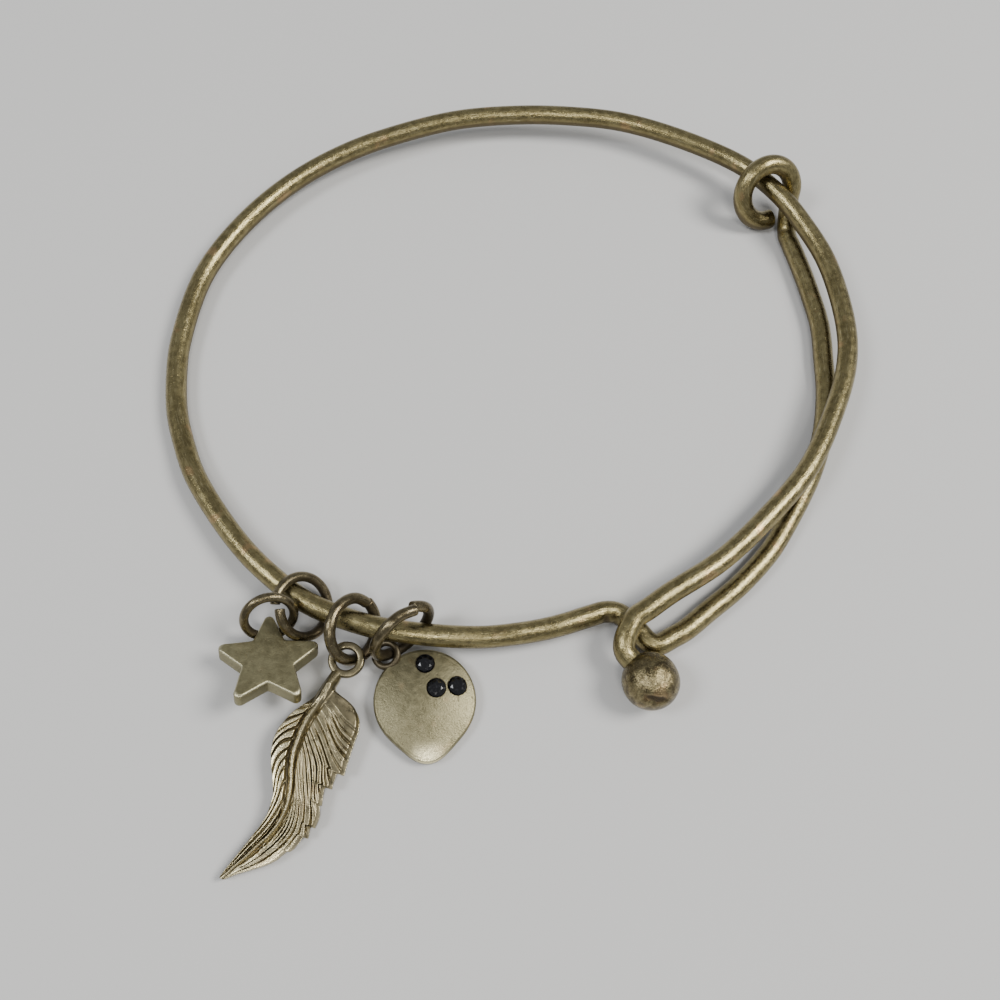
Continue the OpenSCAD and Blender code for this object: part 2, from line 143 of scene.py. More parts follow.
def catmull(points: Array, steps: int) -> Array:
    """Lay a centripetal curve through points.

    Args:
        points: The points, one row each.
        steps: Steps between two of them.

    Returns:
        The curve's points.
    """
    first, last = 2 * points[0] - points[1], 2 * points[-1] - points[-2]
    p = np.vstack([first, points, last])
    out = []
    for a, b, c, d in zip(p, p[1:], p[2:], p[3:]):
        k1 = math.sqrt(np.linalg.norm(b - a))
        k2 = k1 + math.sqrt(np.linalg.norm(c - b))
        k3 = k2 + math.sqrt(np.linalg.norm(d - c))
        at = (k1 + (k2 - k1) * np.arange(steps) / steps)[:, None]
        ab = ((k1 - at) * a + at * b) / k1
        bc = ((k2 - at) * b + (at - k1) * c) / (k2 - k1)
        cd = ((k3 - at) * c + (at - k2) * d) / (k3 - k2)
        abc = ((k2 - at) * ab + at * bc) / k2
        bcd = ((k3 - at) * bc + (at - k1) * cd) / (k3 - k1)
        out.append(((k2 - at) * abc + (at - k1) * bcd) / (k2 - k1))
    return np.vstack([*out, points[-1:]])


def travelled(line: Array) -> Array:
    """Return how far along the line each of its points is."""
    return np.concatenate([[0], np.cumsum(np.linalg.norm(np.diff(line, axis=0), axis=1))])


def cut_edge(places: Array, length: float, bevel: float) -> Array:
    """Return how much a round bar is thinner near its two cut ends, whose edges are bevelled."""
    t = np.clip(np.minimum(places, length - places) / bevel, 0, 1)
    return bevel * (1 - np.sqrt(1 - (1 - t) ** 2))


def end_rows(length: float, step: float, bevel: float) -> Array:
    """Share a bar out into rows, finer at both cut ends.

    Args:
        length: Length of the bar.
        step: Step between the rows in its middle.
        bevel: Length of the bevel at each end.

    Returns:
        The rows' places along the bar.
    """
    shares = np.array([0, 0.06, 0.2, 0.45, 0.75, 1])
    clear = bevel * 1.5
    middle = np.linspace(clear, length - clear, max(2, int(length / step)))
    return np.concatenate([bevel * shares, middle, length - bevel * shares[::-1]])


def ring_way(lean: float, face: float, angle: float | Array) -> Array:
    """Return the way from a ring's centre to a point on it.

    Args:
        lean: Lean of the ring from flat, in degrees.
        face: Compass turn of its lowest point from +X, in degrees.
        angle: Where the point is, in degrees from the lowest one.

    Returns:
        The way, at length one.
    """
    lean, face, angle = math.radians(lean), math.radians(face), np.radians(np.asarray(angle))
    low = np.array(
        [math.cos(face) * math.cos(lean), math.sin(face) * math.cos(lean), -math.sin(lean)]
    )
    side = np.array([-math.sin(face), math.cos(face), 0])
    return np.cos(angle)[..., None] * low + np.sin(angle)[..., None] * side


@dataclass
class Pose:
    """A place and its three axes."""

    at: Array
    x: Array
    y: Array
    z: Array

    def put(self, local: Array) -> Array:
        """Return local points in the part's frame."""
        x, y, z = local[..., 0:1], local[..., 1:2], local[..., 2:3]
        return self.at + x * self.x + y * self.y + z * self.z

    @staticmethod
    def turned(at: Array, tilt_x: float, tilt_y: float, turn: float) -> "Pose":
        """Turn a pose about X, then Y, then Z.

        Args:
            at: Its place.
            tilt_x: Turn about X, in degrees.
            tilt_y: Turn about Y, in degrees.
            turn: Turn about Z, in degrees.

        Returns:
            The turned pose.
        """
        m = (
            Matrix.Rotation(math.radians(turn), 3, "Z")
            @ Matrix.Rotation(math.radians(tilt_y), 3, "Y")
            @ Matrix.Rotation(math.radians(tilt_x), 3, "X")
        )
        return Pose(np.array(at, float), *(np.array(c) for c in m.col))


def linked(name: str, data: bpy.types.ID) -> bpy.types.Object:
    """Make an object and link it to the scene.

    Args:
        name: Its name.
        data: What it shows.

    Returns:
        The object.
    """
    made = bpy.data.objects.new(name, data)
    bpy.context.scene.collection.objects.link(made)
    return made


def soften(made: bpy.types.Object, sharp: float) -> None:
    """Shade a piece smooth, apart from its sharp edges.

    Args:
        made: The piece.
        sharp: Bend in degrees from which an edge stays sharp.
    """
    work = bmesh.new()
    work.from_mesh(made.data)
    bmesh.ops.recalc_face_normals(work, faces=work.faces)
    for face in work.faces:
        face.smooth = True
    for edge in work.edges:
        if len(edge.link_faces) == 2:
            edge.smooth = edge.calc_face_angle() < math.radians(sharp)
    work.to_mesh(made.data)
    work.free()


class Metal:
    """A mesh under construction: vertices in millimetres, faces, and values that vary over it."""

    def __init__(self, name: str) -> None:
        """Start an empty mesh.

        Args:
            name: The piece's name.
        """
        self.name = name
        self.points: list[Array] = []
        self.faces: list[tuple[int, ...]] = []
        self.relief: list[Array] = []
        self.grain: list[Array] = []

    def add(
        self,
        points: Array,
        faces: list[tuple[int, ...]],
        relief: Array | None = None,
        grain: Array | None = None,
    ) -> None:
        """Add points and the faces between them.

        Args:
            points: New vertices, one row each.
            faces: Faces as indices into the new vertices.
            relief: Wear of each vertex, 0 in a groove and 1 on a ridge; on some pieces it also
                carries painted shade and painted highlights.
            grain: Place of each vertex along and across the metal's grain.
        """
        start = sum(len(p) for p in self.points)
        self.points.append(points)
        self.faces += [tuple(start + i for i in f) for f in faces]
        self.relief.append(np.full(len(points), 0.5) if relief is None else relief)
        self.grain.append(points if grain is None else grain)

    def skin(
        self,
        loops: Array,
        relief: Array | None = None,
        grain: Array | None = None,
        closed: bool = False,
    ) -> None:
        """Add a closed skin over a row of loops.

        Args:
            loops: Array of rows, sides and XYZ.
            relief: Wear for each row and side, with painted shade and painted highlights on some
                pieces.
            grain: Grain place for each row and side.
            closed: Whether the last loop joins the first.
        """
        rows, sides = loops.shape[:2]
        faces = [
            (i * sides + k, i * sides + (k + 1) % sides,
             (i + 1) % rows * sides + (k + 1) % sides, (i + 1) % rows * sides + k)
            for i in range(rows if closed else rows - 1)
            for k in range(sides)
        ]
        if not closed:
            faces += [tuple(range(sides)), tuple(range((rows - 1) * sides, rows * sides))]
        self.add(
            loops.reshape(-1, 3),
            faces,
            None if relief is None else relief.reshape(-1),
            None if grain is None else grain.reshape(-1, 3),
        )

    def build(self, sharp: float = 40) -> bpy.types.Object:
        """Write the mesh and its object.

        Args:
            sharp: Bend in degrees from which an edge stays sharp.

        Returns:
            The object, at the origin.
        """
        mesh = bpy.data.meshes.new(self.name)
        mesh.from_pydata((np.vstack(self.points) * MM).tolist(), [], self.faces)
        for key, kind, field_name, values in (
            ("relief", "FLOAT", "value", np.concatenate(self.relief)),
            ("grain", "FLOAT_VECTOR", "vector", np.vstack(self.grain)),
        ):
            layer = mesh.attributes.new(key, kind, "POINT")
            layer.data.foreach_set(field_name, values.astype(np.float32).ravel())
        made = linked(self.name, mesh)
        soften(made, sharp)
        return made


@dataclass
class Bore:
    """A round cutter."""

    name: str
    at: Array
    along: Array
    radius: float
    length: float
    sides: int = 48
    # No bore runs this way
    askew: Vector3 = (0.3, 0.5, 0.81)

    def build(self) -> bpy.types.Object:
        """Build the cutter.

        Returns:
            A plain rod, centred at its place.
        """
        along = unit(self.along)
        side = unit(np.cross(along, self.askew))
        up = np.cross(side, along)
        a = turns(self.sides)[:, None]
        circle = self.radius * (np.cos(a) * side + np.sin(a) * up)
        half = along * self.length / 2
        maker = Metal(self.name)
        maker.skin(np.stack([self.at + circle - half, self.at + circle + half]))
        return maker.build()


def drilled(made: bpy.types.Object, bores: Sequence[Bore]) -> None:
    """Cut bores into a piece.

    Args:
        made: The piece.
        bores: What is cut out of it.
    """
    cutters = [bore.build() for bore in bores]
    for cutter in cutters:
        cut = made.modifiers.new("cut", "BOOLEAN")
        cut.object, cut.operation, cut.solver = cutter, "DIFFERENCE", "EXACT"
    evaluated = made.evaluated_get(bpy.context.evaluated_depsgraph_get())
    mesh = bpy.data.meshes.new_from_object(evaluated)
    made.modifiers.clear()
    made.data = mesh
    for cutter in cutters:
        bpy.data.objects.remove(cutter)


# Shader tools


class Link:
    """A value on a shader link, with Python's operators for its maths."""

    def __init__(self, tree: "Tree", socket: bpy.types.NodeSocket) -> None:
        """Wrap a socket of a tree."""
        self.tree, self.socket = tree, socket

    def _maths(self, operation: str, first: "Link | float", second: "Link | float") -> "Link":
        """Return a Math node's result for two values."""
        return self.tree.node("ShaderNodeMath", {"operation": operation}, {0: first, 1: second})

    def __add__(self, other: "Link | float") -> "Link":
        """Return the sum."""
        return self._maths("ADD", self, other)

    __radd__ = __add__

    def __sub__(self, other: "Link | float") -> "Link":
        """Return the difference."""
        return self._maths("SUBTRACT", self, other)

    def __rsub__(self, other: "Link | float") -> "Link":
        """Return the difference from the other value."""
        return self._maths("SUBTRACT", other, self)

    def __mul__(self, other: "Link | float") -> "Link":
        """Return the product."""
        return self._maths("MULTIPLY", self, other)

    __rmul__ = __mul__

    def clamped(self) -> "Link":
        """Return the value kept between 0 and 1."""
        return self.tree.node("ShaderNodeClamp", {}, {"Value": self})

    def step(self, low: float, high: float) -> "Link":
        """Return 0 below low, 1 above high and a smooth step between them."""
        return self.tree.node(
            "ShaderNodeMapRange",
            {"interpolation_type": "SMOOTHSTEP"},
            {"Value": self, "From Min": low, "From Max": high},
        )


class Tree:
    """A material's node tree."""

    def __init__(self, name: str) -> None:
        """Start a material with an empty tree.

        Args:
            name: The material's name.
        """
        self.material = bpy.data.materials.new(name)
        self.material.use_nodes = True
        self.nodes = self.material.node_tree.nodes
        self.nodes.clear()

    def node(
        self,
        kind: str,
        settings: dict[str, object] | None = None,
        values: dict[str | int, object] | None = None,
        output: str | int = 0,
    ) -> Link | None:
        """Make a node.

        Args:
            kind: The node's type.
            settings: Properties, which are set first.
            values: Values or links of its sockets, by name or number.
            output: The output to return.

        Returns:
            The chosen output, or nothing where the node has none.
        """
        made = self.nodes.new(kind)
        for key, value in (settings or {}).items():
            setattr(made, key, value)
        for key, value in (values or {}).items():
            if isinstance(value, Link):
                self.material.node_tree.links.new(value.socket, made.inputs[key])
            else:
                made.inputs[key].default_value = value
        return Link(self, made.outputs[output]) if made.outputs else None

    def surface(self, values: dict[str, object]) -> bpy.types.Material:
        """Finish the material with a Principled surface.

        Args:
            values: Values or links of its sockets.

        Returns:
            The material.
        """
        shader = self.node("ShaderNodeBsdfPrincipled", {}, values)
        self.node("ShaderNodeOutputMaterial", {}, {"Surface": shader})
        return self.material

    def mixed(self, share: Link, first: Link | Colour, second: Link | Colour) -> Link:
        """Mix two colours.

        Args:
            share: Share of the second one.
            first: Colour or link.
            second: Colour or link.

        Returns:
            The colour between them.
        """
        colours = [c if isinstance(c, Link) else (*c, 1.0) for c in (first, second)]
        settings = {"data_type": "RGBA", "clamp_factor": True}
        # The sockets of a Mix node's factor, colours and colour result
        factor, a, b, result = 0, 6, 7, 2
        return self.node(
            "ShaderNodeMix", settings, {factor: share, a: colours[0], b: colours[1]}, result
        )

    def place(self) -> Link:
        """Return the place on the piece, in millimetres."""
        here = self.node("ShaderNodeTexCoord", output="Object")
        return self.stretched(here, (1 / MM,) * 3)

    def stretched(self, vector: Link, by: Vector3) -> Link:
        """Return a vector times another one."""
        return self.node(
            "ShaderNodeVectorMath", {"operation": "MULTIPLY"}, {0: vector, 1: tuple(by)}
        )

    def noise(self, vector: Link, scale: float, detail: float = 3, rough: float = 0.55) -> Link:
        """Return soft noise at a scale, in features for each unit of the vector."""
        return self.node(
            "ShaderNodeTexNoise",
            {},
            {"Vector": vector, "Scale": scale, "Detail": detail, "Roughness": rough},
        )

    def attribute(self, name: str, output: str) -> Link:
        """Return a value that the mesh carries."""
        return self.node("ShaderNodeAttribute", {"attribute_name": name}, output=output)


@dataclass(frozen=True)
class AntiqueBrass:
    """Brass with an antique finish: tarnish in the low places, wear on the high ones.

    The colours are dark and plain tarnish, bare metal of wear and of painted highlights, the dark
    of the grooves and of painted shade, and copper where the brass wears through.
    The scales are features for each millimetre, and a step is where a noise starts to show and
    where it shows in full.
    """

    name: str
    slot: Slot
    dark: Colour
    plain: Colour
    worn_and_highlight: Colour
    rough: float = 0.36
    grain: Grain = Grain.NONE
    lines: float = 0.0
    groove_and_shade: Colour = (0.05, 0.038, 0.02)
    mottle: float = 0.5
    specks: float = 0.5
    relief_low: float = 0.05
    relief_soft: float = 0.3
    relief_worn: float = 0.5
    relief_high: float = 0.9
    bump: float = 0.12
    bump_depth: float = 0.12
    copper: Colour = (0.5, 0.32, 0.16)
    copper_share: float = 0.5
    broad_scale: float = 0.28
    cloud_scale: float = 1.6
    fine_scale: float = 6.0
    speck_scale: float = 4.2
    rub_scale: float = 0.55
    line_stretch: Vector3 = (0.9, 9.0, 9.0)
    streak_stretch: Vector3 = (0.35, 1.6, 1.6)
    fine_stretch: Vector3 = (1.8, 6.5, 6.5)
    cast_stretch: Vector3 = (5.0, 9.0, 7.0)
    speck_step: tuple[float, float] = (0.64, 0.72)
    cloud_step: tuple[float, float] = (0.2, 0.8)
    streak_step: tuple[float, float] = (0.3, 0.7)
    line_step: tuple[float, float] = (0.5, 0.75)
    rub_step: tuple[float, float] = (0.62, 0.74)
    # Shares of the tarnish's colour and of the bump's height
    broad_share: float = 0.7
    cloud_share: float = 0.7
    streak_share: float = 0.3
    groove_and_shade_share: float = 0.92
    fine_bump: float = 0.8
    cloud_bump: float = 0.6
    speck_bump: float = 0.6
    # What each adds to the roughness, and what it takes from the metal
    cloud_rough: float = 0.24
    fine_rough: float = 0.2
    speck_rough: float = 0.2
    low_rough: float = 0.2
    high_rough: float = -0.1
    low_dull: float = 0.35
    speck_dull: float = 0.3

    def marks(self, t: Tree, here: Link, cloudy: Link) -> tuple[Link, Link, Link]:
        """Lay out the small marks of the finish.

        Args:
            t: The material's tree.
            here: Place on the piece.
            cloudy: The tarnish's clouds.

        Returns:
            Brushed lines, streaks and fine grit.
        """
        if self.grain is Grain.ALONG:
            along = t.attribute(self.grain.value, "Vector")
            return (
                t.noise(t.stretched(along, self.line_stretch), 1.0, 4, 0.62),
                t.noise(t.stretched(along, self.streak_stretch), 1.0, 4, 0.7),
                t.noise(t.stretched(along, self.fine_stretch), 1.0, 3, 0.7),
            )
        lines = t.noise(t.stretched(here, self.cast_stretch), 1.0, 3, 0.6)
        return lines, cloudy, t.noise(here, self.fine_scale, 3, 0.7)

    def build(self) -> bpy.types.Material:
        """Build the finish.

        Returns:
            Its material.
        """
        t = Tree(self.name)
        here = t.place()
        relief = t.attribute("relief", "Fac")
        broad = t.noise(here, self.broad_scale, 3)
        cloudy = t.noise(here, self.cloud_scale, 4, 0.6)
        lines, streaks, fine = self.marks(t, here, cloudy)
        specks = t.noise(here, self.speck_scale, 2, 0.5).step(*self.speck_step) * self.specks
        # Low relief takes the dark groove colour, which on some pieces is painted shade, and high
        # relief the bare metal, which on some pieces is a painted highlight
        low = 1 - relief.step(self.relief_low, self.relief_low + self.relief_soft)
        low = low.clamped()
        high = relief.step(self.relief_worn, self.relief_high)

        cloud = (broad - 0.5) * self.broad_share + (cloudy - 0.5) * self.mottle * 2 + 0.5
        cloud = cloud.step(*self.cloud_step) * self.cloud_share
        tone = (cloud + streaks.step(*self.streak_step) * self.streak_share).clamped()
        rub = t.noise(here, self.rub_scale, 2, 0.4).step(*self.rub_step) * self.copper_share
        body = t.mixed(tone, self.dark, self.plain)
        body = t.mixed(lines.step(*self.line_step) * self.lines, body, self.worn_and_highlight)
        body = t.mixed(high, body, self.worn_and_highlight)
        body = t.mixed(rub, body, self.copper)
        body = t.mixed((low * self.groove_and_shade_share + specks).clamped(), body, self.groove_and_shade)

        height = lines * self.lines + fine * self.fine_bump + cloudy * self.cloud_bump
        height = height - specks * self.speck_bump
        normal = t.node(
            "ShaderNodeBump",
            {},
            {"Strength": self.bump, "Distance": self.bump_depth * MM, "Height": height},
        )
        rough = self.rough + (cloudy - 0.5) * self.cloud_rough + (fine - 0.5) * self.fine_rough
        rough = rough + specks * self.speck_rough + low * self.low_rough + high * self.high_rough
        return t.surface({
            "Base Color": body,
            "Metallic": (1 - low * self.low_dull - specks * self.speck_dull).clamped(),
            "Roughness": rough.clamped(),
            "Normal": normal,
        })


@dataclass(frozen=True)
class JetGlass:
    """Black cut glass with a faint dusty bloom."""

    name: str = "jet_glass"
    slot: Slot = Slot.JET
    clean: Colour = (0.002, 0.002, 0.003)
    dusty: Colour = (0.012, 0.012, 0.016)
    rough: float = 0.16
    dust_rough: float = 0.2
    dust_scale: float = 5.0
    dust_step: tuple[float, float] = (0.5, 0.8)

    def build(self) -> bpy.types.Material:
        """Build the finish.

        Returns:
            Its material.
        """
        t = Tree(self.name)
        dust = t.noise(t.place(), self.dust_scale, 3).step(*self.dust_step)
        return t.surface({
            "Base Color": t.mixed(dust, self.clean, self.dusty),
            "Roughness": dust * self.dust_rough + self.rough,
            "IOR": 1.5,
        })


class Bench:
    """Keeps the finishes and dresses each finished piece."""

    def __init__(self) -> None:
        """Start with no materials made."""
        self.made: dict[str, bpy.types.Material] = {}

    def dress(
        self, piece: bpy.types.Object, finish: AntiqueBrass | JetGlass, *nodes: str
    ) -> None:
        """Give a piece its finish and the nodes that it stands for.

        Args:
            piece: The finished piece.
            finish: What it is finished in.
            nodes: Names of the nodes that it replaces.
        """
        if finish.name not in self.made:
            self.made[finish.name] = finish.build()
        piece.data.materials.clear()
        piece.data.materials.append(self.made[finish.name])
        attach(piece, "root")
        if nodes:
            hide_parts(*nodes)
        LOG.info("%s: %d faces in %s", piece.name, len(piece.data.polygons), finish.name)


# The part


@dataclass(frozen=True)
class Layout:
    """The oval, and the heights that the wire runs at."""

    wire_d: float = 2.0
    inner_w: float = 63.0
    inner_d: float = 57.5
    strand_gap: float = 0.2
    thickest_ring: float = 1.0
    clasp_turn: float = 289.0

    @property
    def wire_r(self) -> float:
        """Radius of the wire."""
        return self.wire_d / 2

    @property
    def half_w(self) -> float:
        """Half the oval's width, at the middle of the wire."""
        return (self.inner_w + self.wire_d) / 2

    @property
    def half_d(self) -> float:
        """Half the oval's depth, at the middle of the wire."""
        return (self.inner_d + self.wire_d) / 2

    def oval(self, turn: float, reach: float, z: float) -> Array:
        """Return the oval's point at a turn from +X and a share of its half axes."""
        a = math.radians(turn)
        return np.array([self.half_w * reach * math.cos(a), self.half_d * reach * math.sin(a), z])

    def over_strand(self, share: float) -> float:
        """Return the wire's height at a share of the rise over another strand."""
        return self.wire_r + share * (self.wire_d + self.strand_gap)

    def over_ring(self, share: float) -> float:
        """Return the wire's height at a share of the rise over a jump ring."""
        return self.wire_r + share * (self.thickest_ring + 2 * self.strand_gap)

    def clasp_axes(self) -> tuple[Array, Array]:
        """Work out the clasp's own directions.

        Returns:
            The directions along the oval and out of it.
        """
        a = math.radians(self.clasp_turn)
        along = unit(np.array([-self.half_w * math.sin(a), self.half_d * math.cos(a), 0]))
        return along, np.array([along[1], -along[0], 0])

    def clasp(self, along: float, out: float, z: float) -> Array:
        """Find a place at the clasp.

        Args:
            along: Wire thicknesses along the oval.
            out: Wire thicknesses out of the oval.
            z: Height.

        Returns:
            The place.
        """
        way, side = self.clasp_axes()
        start = self.oval(self.clasp_turn, 1, 0)
        return start + self.wire_d * (along * way + out * side) + np.array([0, 0, z])


@dataclass(frozen=True)
class Dent:
    """A shallow mark pressed into a round bar or a ball.

    along is a place on the bar, and turn the side of the bar: 0 up, 90 towards its right. On a
    ball, turn is a compass turn from +X and along its angle above the middle.
    """

    along: float
    turn: float
    depth: float
    long: float
    wide: float


@dataclass
class BangleWire:
    """The bent wire from the end in the ball round to the slide ring.

    Rows of the tables are turns in degrees, shares of the oval's half axes and shares of the rise
    over another strand or ring. At the catch and the hook they are wire thicknesses along and out
    of the oval, and a share of the rise.
    """

    layout: Layout
    ball_r: float = 2.55
    ball_grip: float = 2.4
    neck_along: float = -0.77
    neck_out: float = 1.63
    aim_along: float = 0.41
    aim_out: float = 0.91
    slide_hole: float = 4.0
    slide_lean: float = 55.5
    slide_turn: float = 38.0
    slide_reach: float = 1.097
    slide_face: float = 20.0
    slide_skew: float = 1.05
    slide_start: float = -24.0
    slide_end: float = 284.0
    slide_end_gap: float = 0.25
    slide_steps: int = 14
    curve_steps: int = 24
    sides: int = 40
    step: float = 0.3
    bevel: float = 0.18
    # Relief of the wire's sides and underside, low enough for the dark groove colour, and the rise
    # to its top: partly tarnish and wear, partly painted shade on the sides and a painted
    # highlight along the top
    tarnish: float = 0.12
    top_wear_and_highlight: float = 0.42
    top_wear_and_highlight_power: float = 0.7
    # How much darker each dent is painted, for each unit of its depth
    dent_darkening: float = 4.0
    upper: tuple = (
        (291.5, 0.987, 1.05), (296, 0.967, 1.05), (307, 0.954, 1.05), (319, 0.947, 1.05),
        (333, 0.968, 1.05), (346, 0.992, 1.03), (357.5, 1.032, 1), (6, 1.054, 1),
        (20, 1.083, 1.02), (29, 1.091, 1.12), (36, 1.095, 1.24), (45, 1.1, 1.1),
    )
    far: tuple = (
        (57, 1.075, 0.93), (69, 1.045, 0.91), (80, 1.007, 0.91), (90, 0.985, 0.86),
        (101, 0.97, 0.82), (112, 0.958, 0.73), (124, 0.962, 0.59), (137, 0.97, 0.45),
        (151, 0.982, 0.32), (165, 1.002, 0.14), (180, 1.012, 0.04), (187, 1.019, 0),
        (195, 1.029, 0), (202, 1.034, 0.04),
    )
    near: tuple = (
        (209, 1.041, 0.28), (222, 1.052, 0.58), (230, 1.063, 0.78), (238.4, 1.07, 0.86),
        (247.6, 1.055, 1), (253, 1.04, 1.1), (258.5, 1.024, 1), (265, 1.006, 0.77),
        (270, 0.99, 0.69), (274, 0.977, 0.54), (278, 0.964, 0.46), (282.5, 0.949, 0.33),
    )
    catch: tuple = (
        (-0.95, -0.86, 0.23), (-0.43, -0.67, 0.15), (0.01, -0.11, 0.08), (0.23, 0.4, 0.04),
        (0.44, 0.9, 0.04), (0.6, 1.1, 0.04), (0.83, 1.22, 0.03), (1.08, 1.22, 0.02),
        (1.62, 1.1, 0),
    )
    lower: tuple = (
        (296.4, 1.073), (302, 1.051), (308.4, 1.038), (316.5, 1.022), (321.7, 1.009),
        (334.6, 0.994), (344.6, 0.991), (353.7, 0.989), (0, 0.989), (9, 1.006),
        (17.5, 1.021), (24, 1.042), (28.5, 1.062), (30.5, 1.075),
    )
    hook: tuple = (
        (0.04, -0.02, 0.05), (-0.37, 0.33, 0.2), (-0.72, 0.73, 0.45), (-0.89, 1.1, 0.72),
        (-0.88, 1.37, 0.92),
    )
    # The crease on the catch's crest, tool marks at the slide ring and small nicks
    dents: tuple[Dent, ...] = (
        Dent(204, 62, 0.13, 0.3, 0.7), Dent(206, 52, 0.04, 1.5, 0.45),
        Dent(263.9, -15, 0.09, 0.22, 1.3), Dent(262.9, 0, 0.05, 0.3, 1.4),
        Dent(88.4, -60, 0.07, 0.2, 0.2), Dent(70, -30, 0.03, 0.7, 0.5),
        Dent(110.9, 20, 0.03, 0.8, 0.4), Dent(222, 30, 0.03, 1.2, 0.4),
        Dent(18, 40, 0.03, 0.9, 0.4), Dent(150, 10, 0.025, 1.5, 0.4),
    )

    @property
    def neck(self) -> Array:
        """Place where the wire enters the ball."""
        return self.layout.clasp(self.neck_along, self.neck_out, self.ball_r)

    @property
    def neck_aim(self) -> Array:
        """Direction of the wire at the ball."""
        along, out = self.layout.clasp_axes()
        return unit(self.aim_along * along + self.aim_out * out)

    def slide_line(self) -> Array:
        """Lay the slide ring.

        Returns:
            Points of its middle line.
        """
        lay = self.layout
        r = (self.slide_hole + lay.wire_d) / 2
        lean, face = math.radians(self.slide_lean), math.radians(self.slide_face)
        rise = np.array([
            -math.sin(face) * math.cos(lean), math.cos(face) * math.cos(lean), math.sin(lean)
        ])
        side = np.array([math.cos(face), math.sin(face), 0])
        hold = lay.oval(self.slide_turn, self.slide_reach, 0)
        inset = r - self.slide_skew * (lay.wire_d + lay.strand_gap)
        centre = hold * (1 - inset / np.linalg.norm(hold))
        centre = centre + [0, 0, lay.wire_r + r * math.sin(lean)]
        stop = self.slide_end - math.degrees(math.asin(self.slide_end_gap / r))
        a = np.radians(np.linspace(self.slide_start, stop, self.slide_steps + 1))[:, None]
        return centre + r * (np.cos(a) * side + np.sin(a) * rise)

    def line(self) -> Array:
        """Lay the whole wire.

        Returns:
            Points of its middle line, from the ball to the slide ring's end.
        """
        lay = self.layout
        top = lay.over_strand(self.upper[0][2])
        points = [self.neck + self.ball_grip * self.neck_aim, self.neck]
        points += [
            lay.clasp(along, out, top + share * (self.ball_r - top))
            for along, out, share in reversed(self.hook)
        ]
        points += [lay.oval(a, r, lay.over_strand(h)) for a, r, h in self.upper + self.far]
        points += [lay.oval(a, r, lay.over_ring(h)) for a, r, h in self.near]
        points += [lay.clasp(a, o, lay.over_ring(h)) for a, o, h in self.catch]
        points += [lay.oval(a, r, lay.wire_r) for a, r in self.lower]
        return catmull(np.vstack([points, self.slide_line()]), self.curve_steps)

    def build(self) -> bpy.types.Object:
        """Build the wire with its tool marks.

        Returns:
            One smooth piece.
        """
        coarse = self.line()
        far = travelled(coarse)
        places = end_rows(far[-1], self.step, self.bevel)
        line = np.stack([np.interp(places, far, coarse[:, i]) for i in range(3)], axis=1)
        along = unit(np.gradient(line, places, axis=0))
        side = unit(np.cross(along, [0, 0, 1]))
        up = np.cross(side, along)
        turn = turns(self.sides)
        radius = np.full((len(places), self.sides), self.layout.wire_r)
        radius -= cut_edge(places, far[-1], self.bevel)[:, None]
        # The top is painted lighter and the sides and underside darker: partly wear and tarnish,
        # partly a painted highlight and painted shade
        relief = np.full(radius.shape, self.tarnish)
        relief += self.top_wear_and_highlight * np.maximum(0, np.cos(turn)) ** self.top_wear_and_highlight_power
        for mark in self.dents:
            away = (turn - math.radians(mark.turn) + np.pi) % (2 * np.pi) - np.pi
            fall = bell(
                (places[:, None] - mark.along) / mark.long, away * self.layout.wire_r / mark.wide
            )
            radius -= mark.depth * fall
            # The dent is painted darker
            relief -= self.dent_darkening * mark.depth * fall
        way = np.sin(turn)[:, None] * side[:, None] + np.cos(turn)[:, None] * up[:, None]
        maker = Metal("wire")
        maker.skin(
            line[:, None] + radius[..., None] * way,
            relief,
            spread(places[:, None], np.sin(turn)[None], np.cos(turn)[None]),
        )
        return maker.build()


@dataclass
class EndBall:
    """The dented ball on the hooked end, whose dents are measured in degrees."""

    wire: BangleWire
    fineness: int = 6
    wear: float = 0.5
    crease_darkening: float = 0.5
    # A dent shorter than this is a crease, which is painted darker
    crease_long: float = 10.0
    dents: tuple[Dent, ...] = (
        Dent(41, -100, 0.18, 8, 20), Dent(35, -76, 0.12, 7, 13), Dent(70, -10, 0.1, 15, 22),
        Dent(62, 160, 0.08, 20, 24), Dent(60, -130, 0.05, 12, 16), Dent(44, 30, 0.05, 16, 16),
        Dent(-8, 20, 0.08, 26, 22),
    )

    def build(self) -> bpy.types.Object:
        """Build the ball.

        Returns:
            The ball, at the end of the wire.
        """
        work = bmesh.new()
        bmesh.ops.create_icosphere(work, subdivisions=self.fineness, radius=1)
        out = unit(np.array([v.co[:] for v in work.verts]))
        faces = [tuple(v.index for v in f.verts) for f in work.faces]
        work.free()
        radius = np.full(len(out), self.wire.ball_r)
        relief = np.full(len(out), self.wear)
        for mark in self.dents:
            lift, turn = math.radians(mark.along), math.radians(mark.turn)
            aim = np.array([
                math.cos(lift) * math.cos(turn), math.cos(lift) * math.sin(turn), math.sin(lift)
            ])
            level = np.array([-math.sin(turn), math.cos(turn), 0])
            rise = np.cross(aim, level)
            across = np.degrees(np.arctan2(out @ level, out @ aim))
            upward = np.degrees(np.arctan2(out @ rise, out @ aim))
            fall = bell(across / mark.wide, upward / mark.long)
            radius -= mark.depth * fall
            # Creases are painted darker
            if mark.long < self.crease_long:
                relief -= self.crease_darkening * fall
        centre = self.wire.neck + self.wire.ball_r * self.wire.neck_aim
        maker = Metal("ball")
        maker.add(centre + out * radius[:, None], faces, relief)
        return maker.build()


